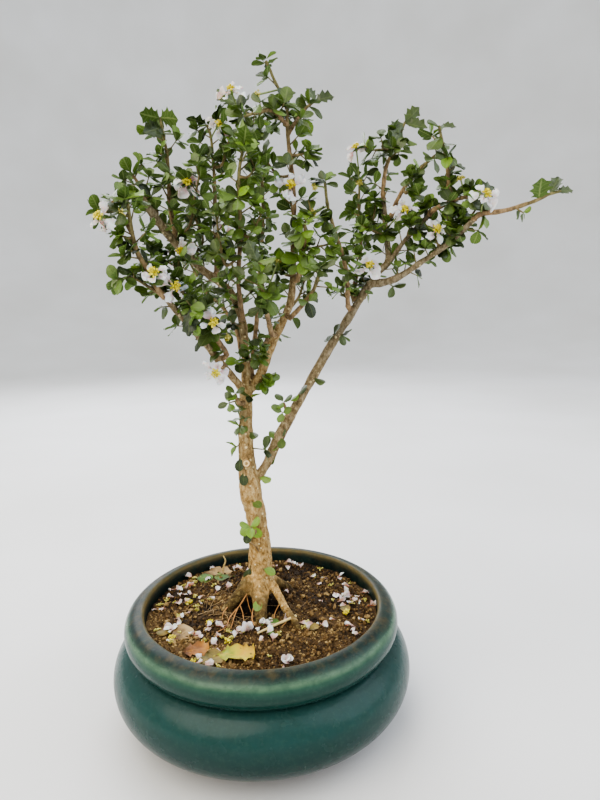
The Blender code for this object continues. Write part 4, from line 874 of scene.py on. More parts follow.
stems = dict(
    arm_tip=dict(on="rightArm", tip=True, holly=3, shoots=[
        [(114, -12, 245), (125, -16.5, 248.3), (131, -17, 251), (136.5, -17, 252.4)]]),
    rise_tip=dict(on="rightRise", tip=True, holly=3, shoots=[
        [(70, 38, 273), (75.5, 40, 284), (80.5, 42, 296)]]),
    reach_tip=dict(on="rightReach", tip=True, holly=2, shoots=[
        [(94, 0, 251), (102, -5, 253)],
        [(92, 1, 252), (89, -4, 266), (85, -8, 276), (83, -10, 281)]]),
    inner=dict(on="rightRise", tip=False, holly=1, shoots=[
        [(69, 30, 246), (75, 22, 259), (82, 16, 268), (90, 10, 275)]]),
    upright=dict(on="rightLimb", tip=False, holly=1, shoots=[
        [(50, 22, 201), (45, 10, 220), (39, 0, 235), (34, -8, 247), (32, -14, 257)]]),
    back_upright=dict(on="rightLimb", tip=False, holly=2, shoots=[
        [(54, 23, 206), (57, 36, 236), (57, 44, 253), (58, 48, 269)]]),
    left_low=dict(on="leftLimb", tip=True, holly=2, shoots=[
        [(-43, -30, 219), (-46, -35, 227), (-47, -39, 236), (-47, -43, 245)],
        [(-47, -38, 234), (-51, -36, 241), (-54.5, -35, 246)]]),
    left_under=dict(on="leftLimb", tip=False, holly=1, shoots=[
        [(-17, -7, 180), (-18, -13, 191), (-21, -22, 200), (-26, -31, 204)]]),
    left_top=dict(on="stubLimb", tip=False, holly=3, shoots=[
        [(-37, 2, 235), (-38, 10, 251), (-39, 18, 272), (-42, 22, 292)]]),
    left_mid=dict(on="stubLimb", tip=False, holly=1, shoots=[
        [(-43, -4, 244), (-46, -2, 252), (-50, 1, 258.5), (-53, 2, 263)]]),
    crown_left=dict(on="stubLimb", tip=False, holly=2, shoots=[
        [(-20, 11, 217), (-18, 20, 236), (-18, 28, 265), (-19, 32, 285), (-21, 34, 292)]]),
    front_mid=dict(on="stubLimb", tip=False, holly=1, shoots=[
        [(-7, 14, 198), (-7, 0, 216), (-5, -16, 237), (-5, -26, 256), (-3, -28, 267)]]),
    crown=dict(on="leader", tip=False, holly=2, shoots=[
        [(1, 10, 168), (1, 24, 196), (4, 38, 227), (6, 44, 258), (4, 40, 282), (-5, 27, 298)]]),
    leader_tip=dict(on="leader", tip=True, holly=0, shoots=[
        [(19, -2, 256), (17, -4, 276), (16, -5, 291), (12, -5, 299), (8, -5, 308)],
        [(17, -4, 279), (22, 2, 287), (27, 9, 294), (31, 13, 297.5)],
        [(17, -4, 282), (10, -12, 286), (4, -18, 284), (-2, -22, 281)]]),
    mid_right=dict(on="leader", tip=False, holly=0, shoots=[
        [(17, 4, 199), (22, -6, 204), (27, -16, 212), (28.5, -24, 219)]]),
    mid_front=dict(on="leader", tip=False, holly=1, shoots=[
        [(19, 1, 216), (22, -6, 223), (23, -12, 231), (23, -16, 240)]]),
    back_right=dict(on="leader", tip=False, holly=1, shoots=[
        [(4, 9, 174), (6, 24, 186), (14, 40, 196), (25, 52, 208), (31, 60, 227)]]),
    back_left=dict(on="stubLimb", tip=False, holly=1, shoots=[
        [(-5, 12, 181), (-10, 26, 193), (-18, 40, 204), (-27, 52, 212), (-35, 60, 227)]]),
    front_low=dict(on="leader", tip=False, holly=1, shoots=[
        [(11, 7, 190), (6, -8, 199), (4, -22, 211), (2, -32, 222)]]),
    trunk_leaves=dict(on="trunk", tip=False, holly=0, pitch=5.0, shoots=[
        [(-3, 6, 92), (-4, -1, 93.5), (-4.8, -4, 96)]]),
    limb_leaves=dict(on="rightLimb", tip=False, holly=0, pitch=6.0, shoots=[
        [(17, 13, 147), (15, 6, 151), (13, 2, 157)]]),
    fork_leaves=dict(on="trunk", tip=False, holly=0, pitch=5.0, shoots=[
        [(-6, 7, 157), (-9, 0, 158), (-10, -5, 163)]]))

foliage = dict(spurPitch=20.6, spurLength=(3.5, 8.0), spread=58.0, stemRadii=(1.3, 0.6),
               spurRadius=0.36, betweenPitch=3.5, betweenLength=(0.8, 8.5), betweenScale=(0.68, 1.02),
               sparse=("trunk_leaves", "limb_leaves", "fork_leaves"), bare=("upright",),
               bright=dict(trunk_leaves=0.66, mid_front=0.60, limb_leaves=0.45, front_mid=0.45),
               thin={("leader_tip", 0): 2.3, ("arm_tip", 0): 6.0, ("reach_tip", 1): 2.0,
                     ("rise_tip", 0): 1.6, ("inner", 0): 1.7, ("left_top", 0): 1.2,
                     ("mid_right", 0): 1.8, ("leader_tip", 1): 1.5},
               clear=dict(crown=0.25, back_right=0.7, back_left=0.35, front_low=0.4, mid_right=0.6,
                          inner=0.3, arm_tip=0.95),
               small={("leader_tip", 0): 0.68, ("arm_tip", 0): 0.6, ("upright", 0): 0.8,
                      ("left_low", 0): 0.85, ("left_low", 1): 0.8, ("reach_tip", 1): 0.85,
                      ("inner", 0): 0.85, ("rise_tip", 0): 0.92, ("mid_right", 0): 0.85},
               sparseSize=0.82, lean=dict(left_under=(0.8, 0, -0.9)), knot=0.16,
               rosetteSpread=(0.78, 0.44), rosetteSize=(0.82, 0.34), extraSize=(0.6, 0.9),
               extraDrop=(0.6, 2.2), extraLean=(5, 30),
               roundLeaf=(7.2, 5.1), hollyLeaf=(11.5, 8.4), thickness=0.2, tone=(0.32, 0.16))

# Ranges of a live leaf's cup, droop, ripple, crumple, sway and phase
leafCurl = [(-0.40, 0.35), (0.0, 0.24), (0.0, 0.06), (0.0, 0.10), (-0.12, 0.12), (0.0, turn)]

# Leaves at the ends of shoots that stand apart: outline, base, tip, facing and width
posedLeaves = {
    ("arm_tip", 0): [
        ("holly", (126.6, -17, 249.7), (124.8, -21.5, 258.0), (0.1, 0.9, 0.3), 9.6),
        ("holly", (131.8, -17, 251.9), (136.7, -15, 259.8), (-0.5, -0.7, 0.1), 6.5),
        ("holly", (134.9, -17, 252.5), (142.0, -18, 253.4), (0.1, -0.7, 0.8), 6.5)],
    ("rise_tip", 0): [
        ("holly", (80.4, 42, 296.4), (87.9, 40, 303.0), (0.5, -0.8, 0.2), 8.0),
        ("holly", (79.6, 41, 296.0), (70.5, 38, 291.4), (0.2, -0.9, 0.5), 8.0),
        ("holly", (81.0, 42, 295.3), (92.1, 40, 292.9), (0.2, -0.9, 0.5), 8.5),
        ("holly", (78.6, 41, 291.8), (71.6, 34, 284.5), (0.4, -0.8, 0.4), 9.0),
        ("round", (77.0, 40, 289.0), (86.0, 36, 285.5), (0.0, -0.3, 1.0), 5.0)],
    ("left_top", 0): [
        ("holly", (-42.1, 22, 292.3), (-51.4, 18, 293.0), (0.1, 0.8, 0.5), 9.0),
        ("holly", (-41.8, 22, 292.3), (-33.1, 20, 292.2), (0.0, 0.85, 0.5), 9.5),
        ("holly", (-41.0, 20, 288.0), (-47.4, 12, 282.4), (0.6, -0.8, 0.1), 9.0),
        ("round", (-40.5, 19, 285.7), (-34.9, 16, 284.6), (0.0, -0.2, 1.0), 4.6)],
    ("leader_tip", 1): [
        ("holly", (31.2, 13, 297.6), (39.5, 12, 300.4), (0.1, -0.9, 0.5), 7.2),
        ("holly", (30.9, 13, 297.6), (27.0, 11, 302.8), (0.4, -0.8, 0.5), 6.5),
        ("round", (26.3, 9, 294.0), (21.4, 5, 295.4), (0.2, -0.9, 0.3), 6.0),
        ("round", (27.6, 10, 293.5), (33.4, 6, 289.0), (0.0, -0.3, 1.0), 5.0)],
    ("reach_tip", 1): [
        ("round", (83.2, -10, 280.6), (77.2, -13, 281.4), (0.0, -0.7, 0.8), 4.8),
        ("holly", (83.3, -10, 280.6), (89.6, -13, 281.0), (0.0, -0.7, 0.8), 5.8),
        ("round", (84.3, -9, 276.7), (78.4, -13, 270.8), (-0.4, -0.8, 0.4), 6.6),
        ("round", (85.0, -8, 273.6), (90.6, -11, 273.4), (0.0, -0.4, 1.0), 5.0)]}

# Half outlines, from the base to the tip: t along the blade, w the half width as a share
roundLeaf = dict(t=[0, 0.08, 0.26, 0.50, 0.75, 0.92, 1.0],
                 w=[0.05, 0.11, 0.37, 0.51, 0.48, 0.30, 0.09], columns=5, waves=1.4)
hollyLeaf = dict(t=[0, 0.07, 0.16, 0.22, 0.29, 0.40, 0.52, 0.59, 0.68, 0.78, 0.85, 0.94, 1.0],
                 w=[0.04, 0.08, 0.25, 0.45, 0.30, 0.37, 0.54, 0.33, 0.36, 0.44, 0.21, 0.12, 0.02],
                 columns=5, waves=2.6)


def pointAlong(path, lengths, place):
    # the point that far along the path
    return np.array([np.interp(place, lengths, path[:, c]) for c in range(3)])


def directionAlong(path, lengths, place):
    # the path's way there, from a millimetre before to a millimetre after
    return unit(pointAlong(path, lengths, min(place + 1, lengths[-1]))
                - pointAlong(path, lengths, place - 1))


def nearestOn(path, radii, point):
    # closest point of the centre line, from its nearest stretch
    a, b = path[:-1], path[1:]
    share = np.clip(((point - a) * (b - a)).sum(1) / ((b - a) ** 2).sum(1), 0, 1)
    spots = a + share[:, None] * (b - a)
    best = np.linalg.norm(point - spots, axis=1).argmin()
    radius = radii[best] + share[best] * (radii[best + 1] - radii[best])
    return spots[best], radius, unit(b[best] - a[best])


def stemPaths(spec):
    # each shoot's path; the first starts on its limb, at the tip or on the side
    out = []
    for number, points in enumerate(spec["shoots"]):
        keys = [np.array(p, float) for p in points]
        if number == 0:
            path, radii = limbPath(spec["on"], 9.0)
            if spec["tip"]:
                along = unit(path[-1] - path[-2])
                keys = [path[-1] - along * 0.5, path[-1] + along * 2.8] + keys
            else:
                centre, radius, along = nearestOn(path, radii, keys[0])
                side = across(keys[1] - centre, along)
                keys = [centre + side * (radius - 0.4), centre + side * (radius + 2.8)] + keys[1:]
        first = foliage["stemRadii"][0] * (1.0 if number == 0 else 0.75)
        path = smoothPath(keys, 2.0)
        out.append((path, np.linspace(first, foliage["stemRadii"][1], len(path))))
    return out


def carrierPath(name):
    # centre line and radii of a leafy stem's first shoot, or of a limb
    return stemPaths(stems[name])[0] if name in stems else limbPath(name)


def leafBlade(kind, base, axis, normal, scale, tone, rng):
    # a leaf of its kind's usual size times the scale
    return makeBlade(base, axis, normal, np.array(foliage[kind + "Leaf"]) * scale,
                     float(np.clip(tone, 0, 1)), leafCurl, rng, kind=kind)


def rosetteLeaves(start, end, draws, holly, extra, tone, rng, size, lean):
    # blades round the end of a spur: blade k leans from the spur by the spread, turned round
    # it by k shares of a full turn. Smaller extra ones stand a little lower, leaning further.
    # The lean, a vector, turns the large ones towards the light.
    along = unit(end - start)
    count = max(3, holly)
    rows = []
    for k in range(count + extra):
        solid = k < count
        angle = draws[15] * turn + (k + 0.5 if solid else k + rng.uniform(0, 0.4)) * turn / count
        outward = spokes(along, angle)
        least, more = foliage["rosetteSpread"]
        spread = math.radians(foliage["spread"] * (least + more * draws[6 + k % 6])
                              + (0 if solid else rng.uniform(*foliage["extraLean"])))
        axis = unit(along * math.cos(spread) + outward * math.sin(spread) + np.array(lean) * solid)
        normal = across(along * 0.8 + np.array([0, -0.1, 0.5]) + rng.normal(0, 0.16, 3), axis)
        least, more = foliage["rosetteSize"]
        scale = least + more * draws[2 + k % 6]
        scale *= size if solid else rng.uniform(*foliage["extraSize"])
        base = end + outward * 0.3 - along * (0.0 if solid else rng.uniform(*foliage["extraDrop"]))
        shade = tone - 0.20 * (k < holly) + rng.normal(0, foliage["tone"][1])
        kind = "holly" if k < holly else "round"
        rows.append(leafBlade(kind, base, axis, normal, scale, shade, rng))
    return rows


def poseLeaves(rows, path, radii, tone, rng):
    # blades from the stem beside each base to its tip, at the width given
    blades = []
    for kind, base, tip, facing, width in rows:
        start = nearestOn(path, radii, np.array(base, float))[0]
        reach = np.array(tip, float) - start
        blade = leafBlade(kind, start, unit(reach), across(np.array(facing), reach), 1.0,
                          tone + rng.normal(0, 0.08), rng)
        blades.append(dict(blade, size=np.array([np.linalg.norm(reach), width])))
    return blades


def sprigLeaves(start, end, count, tone, rng, scales):
    # a few leaves at the end of a twig, spread by the golden angle, small and mixed in size
    along = unit(end - start)
    rows = []
    first = rng.uniform(0, turn)
    for k in range(count):
        outward = spokes(along, first + k * goldenAngle, (0.1, 0.3, 1.0))
        spread = math.radians(rng.uniform(30, 85))
        axis = unit(along * math.cos(spread) + outward * math.sin(spread))
        normal = across(along * 0.5 + np.array([0, -0.15, 0.8]) + rng.normal(0, 0.25, 3), axis)
        rows.append(leafBlade("round", end - along * rng.uniform(0, 1.0), axis, normal,
                              rng.uniform(*scales), tone + rng.normal(0, foliage["tone"][1]), rng))
    return rows


def leafParts(rows):
    # the blades of each outline, made all at once
    parts = []
    for kind, shape in (("round", roundLeaf), ("holly", hollyLeaf)):
        some = [r for r in rows if r["kind"] == kind]
        if some:
            parts.append(bladeParts(shape, some, foliage["thickness"]))
    return parts


def twigWay(along, angle, rise):
    # out from the wood at the angle, leaning forward along it and lifted by the rise
    return unit(0.5 * along + spokes(along, angle, (0.0, 0.3, 1.0)) + up * rise)


def twigPart(start, end, radius, count=5):
    # a short tube that tapers from 1.25 to 0.8 of its radius
    middle = (start + end) / 2 + (end - start) * 0.05
    return tubePart(np.array([start, middle, end]), np.array([1.25, 1.0, 0.8]) * radius, count, 0.8, 2)


def growBetween(path, first, last, pitch, counts, tone, rng, reach=1.0, forward=1.0):
    # short twigs along a stretch of wood, each turned on from the last by the golden angle;
    # none comes forward, towards -Y, by more than the share called forward
    lengths = pathLengths(path)
    parts, rows = [], []
    for k, place in enumerate(np.arange(last, first, -pitch)):
        place += rng.uniform(-0.3, 0.3) * pitch
        centre = pointAlong(path, lengths, place)
        along = directionAlong(path, lengths, place)
        out = twigWay(along, k * goldenAngle + rng.uniform(0, 1.5), 0.25)
        out = unit([out[0], max(out[1], -forward), out[2]])
        end = centre + out * (rng.uniform(*foliage["betweenLength"]) * reach + 1.0)
        parts.append(twigPart(centre, end, foliage["spurRadius"] * 0.8))
        rows += sprigLeaves(centre, end, rng.randint(*counts), tone, rng, foliage["betweenScale"])
    return parts, rows


def growStem(name, spec, index):
    # the solid's spurs at their pitch, then shorter twigs between them. The shoot is swollen
    # at each leaf joint, by a share that goes with the cube of a cosine along it.
    draw, rng = np.random.RandomState(100 + index), np.random.RandomState(700 + index)
    parts, rows = [], []
    tone = foliage["bright"].get(name, foliage["tone"][0])
    for number, (path, radii) in enumerate(stemPaths(spec)):
        lengths = pathLengths(path)
        total = lengths[-1]
        ages = np.clip(1.9 * lengths / max(total, 40) - 0.7 + (number > 0) * 0.3, 0, 1)
        knots = 1 + foliage["knot"] * np.clip(np.cos(lengths * turn / foliage["betweenPitch"]), 0, 1) ** 3
        parts.append(tubePart(path, radii * knots, 8, ages, 2, 0.10, 3.0, index))
        for k, place in enumerate(np.arange(total, 6.0, -spec.get("pitch", foliage["spurPitch"]))):
            draws = draw.uniform(0, 1, 16)
            centre = pointAlong(path, lengths, place)
            along = directionAlong(path, lengths, place)
            start, end = centre - along * 1.2, centre + along * 0.9
            if k:
                out = twigWay(along, k * goldenAngle + draws[0] * 1.2 + number, 0.35)
                low, high = foliage["spurLength"]
                start, end = centre, centre + out * (low + draws[1] * (high - low))
                parts.append(twigPart(start, end, foliage["spurRadius"], 6))
            holly = spec["holly"] if k == 0 and number == 0 else 0
            extra = 0 if name in foliage["sparse"] else 1 if (name, number) in foliage["thin"] else 4
            size = foliage["small"].get((name, number), 1.0)
            size = foliage["sparseSize"] if name in foliage["sparse"] else size
            lean = foliage["lean"].get(name, (0, 0, 0)) if k == 0 else (0, 0, 0)
            if k == 0 and (name, number) in posedLeaves:
                rows += poseLeaves(posedLeaves[name, number], path, radii, tone - 0.05, rng)
            else:
                rows += rosetteLeaves(start, end, draws, holly, extra, tone + 0.06 * (k == 0), rng,
                                      size, lean)
        if name not in foliage["sparse"]:
            short = 8.0 if (name, number) in posedLeaves else 2.5
            top = total * 0.5 if name in foliage["bare"] else total - short
            pitch = foliage["betweenPitch"] * foliage["thin"].get((name, number), 1.0)
            first = max(4.0, total * foliage["clear"].get(name, 0.0))
            twigs, leaves = growBetween(path, first, top, pitch, (3, 6), tone, rng)
            parts += twigs
            rows += leaves
    return parts + leafParts(rows), len(rows)


def leafMaterial(name, stops, vein, finish, veinShare):
    # Leathery leaf: a wax gloss over deep green, a paler midrib and faint side veins.
    material, add, shader = newMaterial(name, finish)
    mottle = add("Math", [objectNoise(add, 3.0), 0.40, -0.20], operation="MULTIPLY_ADD")
    shade = add("Math", [add("Attribute", attribute_name="tone"), mottle], operation="ADD")
    green = add("ValToRGB", [shade], stops)
    x, y = bladeAxes(add)
    aside = add("Math", [x], operation="ABSOLUTE")
    midrib = add("MapRange", {"Value": aside, "From Min": 0.04, "From Max": 0.14, "To Min": 1.0,
                              "To Max": 0.0})
    slant = add("Math", [aside, -0.22, y], operation="MULTIPLY_ADD")
    wave = add("Math", [add("Math", [slant, turn * 6], operation="MULTIPLY")], operation="SINE")
    swell = add("Math", [wave, 0.5, 0.5], operation="MULTIPLY_ADD")
    ribs = add("Math", [add("Math", [swell, 8.0], operation="POWER"), 0.4], operation="MULTIPLY")
    veins = add("Math", [midrib, ribs], operation="MAXIMUM")
    height = add("Math", [objectNoise(add, 1.2, 2.0), veins], operation="SUBTRACT")
    coverSurface(add, shader, tinted(add, green, (veins, veinShare, vein)), height, 0.18, 0.6)
    return material


leafTop = leafMaterial("waxyHollyLeafTop", [(0.0, "#1f2c13"), (0.30, "#4a5a2b"), (0.58, "#698539"),
                                            (1.0, "#86ac30")], "#9aa864",
                       {"Roughness": 0.38, "IOR": 1.42, "Coat Weight": 0.22,
                        "Coat Roughness": 0.30}, 0.13)
leafUnder = leafMaterial("mattHollyLeafUnderside", [(0.0, "#3a5020"), (0.5, "#607c34"),
                                                    (1.0, "#95b448")], "#aebb78",
                         {"Roughness": 0.65, "IOR": 1.40}, 0.40)


def shootMaterial():
    # Shoots: grey-brown woody skin, passing to smooth green-brown towards the young end.
    material, add, shader = newMaterial("shootSkin", {"Roughness": 0.78})
    grain = objectNoise(add, 2.0, 5.0, 0.65, (1, 1, 0.5))
    woody = add("ValToRGB", [grain], [(0.32, "#54442d"), (0.50, "#8a7150"), (0.70, "#b49a72")])
    young = add("ValToRGB", [grain], [(0.32, "#3b4420"), (0.50, "#5c6434"), (0.70, "#7f8150")])
    colour = tinted(add, woody, (add("Attribute", attribute_name="tone"), 0.7, young))
    coverSurface(add, shader, colour, objectNoise(add, 0.9, 4.0, 0.65), 0.3, 0.9)
    return material


shootSkin = shootMaterial()
leafLook = [leafTop, leafUnder, shootSkin]
leafCount = 0
for index, (name, spec) in enumerate(stems.items()):
    parts, count = growStem(name, spec, index)
    leafCount += count
    addPiece("foliage_" + name, parts, leafLook, ["leaves_" + name])

# Twigs straight on the limbs: share of the limb where they start and end, pitch, leaf counts
limbTwigs = dict(rightArm=(0.12, 0.98, 4.2, (3, 6)), rightRise=(0.10, 0.98, 6.2, (3, 6)),
                 rightReach=(0.10, 0.98, 3.8, (3, 6)), leftLimb=(0.50, 0.98, 6.0, (2, 5)),
                 stubLimb=(0.30, 0.95, 5.6, (2, 5)), leader=(0.45, 0.98, 9.0, (2, 4)),
                 rightLimb=(0.86, 0.99, 5.0, (2, 4)))

# Leafy side shoots that the solid leaves out: what carries one, then the points it passes
sideShoots = [
    ("stubLimb", [(-29, 6, 241), (-25, 0, 254), (-22, -3, 265)]),
    ("stubLimb", [(-24, 18, 236), (-30, 22, 252), (-31, 24, 265)]),
    ("left_low", [(-49, -37, 232), (-52, -38, 233)]),
    ("leftLimb", [(-26, -18, 200), (-30, -20, 208), (-30, -21, 214)]),
    ("leftLimb", [(-45, -27, 214), (-50, -30, 217), (-55, -32, 216)]),
    ("leftLimb", [(-41, -20, 214), (-43, -20, 219)]),
    ("leftLimb", [(-28, -12, 206), (-32, -12, 216), (-33, -10, 225)]),
    ("leftLimb", [(-41, -14, 216), (-45, -10, 223), (-44, -8, 230)]),
    ("front_mid", [(-12, -14, 222), (-14, -18, 232), (-15, -20, 243)]),
    ("front_mid", [(-1, -18, 234), (4, -20, 243)]),
    ("stubLimb", [(-2, -2, 179), (3, -6, 183)]),
    ("rise_tip", [(77, 40, 281), (68, 34, 281), (61, 32, 280)]),
    ("rightRise", [(62, 22, 239), (56, 18, 241)]),
    ("rightReach", [(86, 12, 246), (82, 8, 251)]),
    ("rightArm", [(88, 8, 236), (93, 2, 240)]),
    ("rightArm", [(102, 0, 243), (104, -2, 247)]),
    ("rightArm", [(100, 6, 240), (97, 4, 246)]),
    ("rightArm", [(92, 14, 234), (94, 10, 230)]),
    ("back_upright", [(62, 34, 245), (64, 32, 256)]),
    ("leader", [(15, 0, 218), (12, -4, 222)]),
    ("leader", [(22, 0, 229), (29, -8, 230), (34, -10, 231)]),
    ("leader_tip", [(13, -4, 261), (9, -8, 264), (6, -10, 268)]),
    ("stubLimb", [(-16, 6, 194), (-20, 0, 199), (-22, -4, 203)]),
    ("leader", [(22, -6, 238), (26, -10, 245)]),
    ("crown", [(-1, 34, 290), (4, 28, 292), (9, 24, 292)]),
    ("crown_left", [(-14, 27, 272), (-11, 24, 280), (-9, 22, 285)]),
    ("front_mid", [(-1, -25, 257), (2, -26, 261)]),
    ("rightReach", [(76, 14, 237), (76, 9, 241)]),
    ("reach_tip", [(93, 1, 255), (92, 1, 259)]),
    ("reach_tip", [(99, -4, 252), (101, -4, 253)]),
    ("inner", [(76, 18, 257), (78, 14, 259)]),
    ("leader_tip", [(21, -4, 270), (26, -4, 271)]),
    ("back_left", [(-41, 60, 240), (-42, 62, 253)])]

# Single tufts: the wood that carries one, a point beside it, its way, leaf count, tone and,
# where it is long, the length of its twig
tufts = [("trunk", (-4.4, 0, 107.5), (0.6, -0.8, 0.1), 1, 0.40),
         ("trunk", (0.2, 1, 71.3), (0.9, -0.5, -0.1), 1, 0.60),
         ("middle", (-2.3, -5, 61), (-0.1, -0.9, -0.3), 1, 0.60),
         ("trunk", (-9.5, 3, 72.0), (-0.3, -0.3, -0.9), 1, 0.15),
         ("trunk", (-8.5, 1, 92.0), (-0.3, -0.4, -0.9), 1, 0.10),
         ("trunk", (-6.0, 0, 94.0), (-0.2, -0.7, -0.5), 2, 0.66),
         ("trunk", (-8.2, 1, 124.0), (0.0, -0.3, -0.9), 1, 0.12),
         ("trunk", (-9.8, 3, 131.0), (-0.1, -0.4, -0.9), 1, 0.10),
         ("trunk", (2.0, 3, 119.5), (0.8, -0.5, 0.1), 1, 0.70),
         ("trunk", (-2.8, 2, 142.7), (0.4, -0.8, 0.0), 1, 0.3),
         ("trunk", (-8.6, 3, 146.0), (-0.8, -0.4, -0.2), 3, 0.35),
         ("trunk", (-10.8, 3, 137.0), (-0.7, -0.3, -0.6), 2, 0.35, 3.5),
         ("trunk", (-1.5, 3, 134.5), (0.9, -0.25, -0.08), 4, 0.35, 7.5),
         ("trunk", (-6.0, 2, 149.0), (-0.4, -0.5, 0.7), 3, 0.5),
         ("trunk", (-7.0, 2, 154.0), (-0.6, -0.6, 0.4), 3, 0.3),
         ("trunk", (-2.0, 2, 160.0), (0.3, -0.8, 0.3), 3, 0.35),
         ("leader", (2.7, 1, 164.8), (0.9, -0.4, 0.0), 7, 0.58, 4.0),
         ("leader", (5.5, 2, 169.0), (0.9, -0.4, -0.3), 6, 0.50, 3.5),
         ("leader", (3.5, 1, 167.0), (0.9, -0.5, -0.6), 6, 0.50, 3.0),
         ("rightLimb", (8.5, 10, 130.0), (-0.7, -0.5, 0.3), 2, 0.5),
         ("rightLimb", (11.8, 10, 137.6), (-0.6, -0.6, 0.5), 3, 0.4),
         ("rightLimb", (21.8, 12, 159.0), (-0.7, -0.3, 0.6), 2, 0.3),
         ("rightLimb", (28.0, 14, 168.0), (0.6, -0.5, -0.2), 1, 0.3),
         ("rightLimb", (39.6, 18, 189.0), (-0.7, -0.4, 0.2), 3, 0.2),
         ("rightLimb", (44.0, 18, 188.5), (0.7, -0.4, -0.3), 3, 0.3)]


def growOnLimbs():
    # twigs at their pitch along the limbs, then the single tufts, each from its wood's surface
    rng = np.random.RandomState(901)
    parts, rows = [], []
    for name, (first, last, pitch, counts) in limbTwigs.items():
        path = limbPath(name)[0]
        total = pathLengths(path)[-1]
        twigs, leaves = growBetween(path, first * total, last * total, pitch, counts, 0.28, rng,
                                    0.8, 0.1)
        parts += twigs
        rows += leaves
    for number, (name, point, way, count, tone, *length) in enumerate(tufts):
        rng = np.random.RandomState(1200 + number)
        path, radii = limbPath(name)
        point, way = np.array(point, float), unit(np.array(way, float))
        centre, radius, along = nearestOn(path, radii, point)
        start = centre + across(point - centre, along) * (radius - 0.5)
        end = start + way * (length or [1.6])[0]
        parts.append(twigPart(start, end, foliage["spurRadius"] * 0.8))
        if count == 1:
            normal = across(np.array([0, -0.6, 0.8]), way)
            rows.append(leafBlade("round", end, way, normal, 0.88, tone, rng))
        else:
            rows += sprigLeaves(start, end, count, tone, rng, (0.7, 0.98))
    addPiece("foliage_on_limbs", parts + leafParts(rows), leafLook)
    return len(rows)


def growSideShoots():
    # a thin stem from the middle of its wood, with twigs along it and a sprig at its end
    rng = np.random.RandomState(555)
    parts, rows = [], []
    for number, (carrier, points) in enumerate(sideShoots):
        centre = nearestOn(*carrierPath(carrier), np.array(points[0], float))[0]
        path = smoothPath([centre] + points, 1.5)
        radii = np.linspace(0.75, 0.42, len(path))
        parts.append(tubePart(path, radii, 6, np.linspace(0.3, 0.9, len(path)), 2, 0.1, 3.0, number))
        twigs, leaves = growBetween(path, 2.5, pathLengths(path)[-1] - 0.5, 3.0, (3, 6), 0.34, rng,
                                    0.7)
        parts += twigs
        rows += leaves + sprigLeaves(path[-2], path[-1], 6, 0.42, rng, (0.75, 1.05))
    addPiece("foliage_side_shoots", parts + leafParts(rows), leafLook)
    return len(rows)


leafCount += growOnLimbs() + growSideShoots()
print("leaves grown:", leafCount)


# Flowers: centre, the way each faces, and what carries it

flowers = [
    ((-28.5, 0, 259), (0.2, -0.8, 0.3), "left_top"),
    ((-57, -44, 239), (-0.6, -0.7, 0.3), "left_low"),
    ((-32, -7, 228), (0.1, -0.9, 0.4), "stubLimb"),
    ((-33, -30, 213), (0.6, -0.7, 0.1), "leftLimb"),
    ((-38, -45, 218), (-0.1, -0.9, 0.4), "left_low"),
    ((-8, 18, 303), (-0.2, -0.5, 0.8), "crown"),
    ((-15, 23, 289), (0.5, -0.7, 0.4), "crown_left"),
    ((17, -10, 256), (0.1, -0.9, 0.4), "leader_tip"),
    ((-18, -14, 175), (-0.1, -0.9, -0.2), "leftLimb"),
    ((-18, -28, 198), (0.4, -0.8, 0.1), "left_under"),
    ((-12, 13, 243), (0.5, -0.7, 0.4), "crown_left"),
    ((55, 42, 283), (-0.3, -0.5, 0.7), "back_upright"),
    ((57, 13, 222), (-0.1, -0.8, 0.5), "rightRise"),
    ((73, 12, 248), (0.4, -0.7, 0.5), "rightRise"),
    ((103, -16, 251), (0.1, -0.8, 0.5), "arm_tip"),
    ((86, 0, 238), (0.2, -0.9, 0.2), "rightReach")]

spent = [((-16, 16, 231), "crown_left"), ((11, -6, 223), "front_low"), ((4, -17, 291), "leader_tip"),
         ((-13, -16, 191), "left_under"), ((28, -15, 255), "upright"), ((28, -10, 245), "upright"),
         ((57, 43, 266), "back_upright"), ((61, 38, 250), "back_upright"),
         ((95, -6, 259), "reach_tip"), ((-49, -44, 241), "left_low")]

# Flowers that differ in size from the rest, by their place in the list
bloomSizes = {3: 1.05, 4: 0.68, 9: 0.82, 13: 0.85, 15: 0.78}

bloom = dict(petalLength=6.7, petalWidth=4.9, calyxHeight=1.0, thickness=0.12, anthers=15,
             antherSize=0.58, bossRadius=2.1, bossHeight=2.3, stalkRadius=0.42, spentRadius=1.7,
             turnSpread=0.13, tilt=(-0.12, 0.30), tiltSpread=0.22, faceSpread=0.38,
             lengths=(0.72, 1.08), widths=(0.62, 1.15))

petalShape = dict(t=[0, 0.12, 0.26, 0.35, 0.46, 0.60, 0.74, 0.86, 0.95, 1.0],
                  w=[0.06, 0.05, 0.06, 0.20, 0.38, 0.48, 0.50, 0.45, 0.33, 0.18], columns=7,
                  waves=2.4)


def stalkPart(carrier, end, facing):
    # bends from the nearest wood to the back of the flower
    path, radii = carrierPath(carrier)
    centre = nearestOn(path[2:-2], radii[2:-2], end - facing * 5.0)[0]
    middle = (centre + end) / 2 - facing * 1.5
    return tubePart(smoothPath([centre, middle, end], 1.5), bloom["stalkRadius"], 6, 0.5, 0)


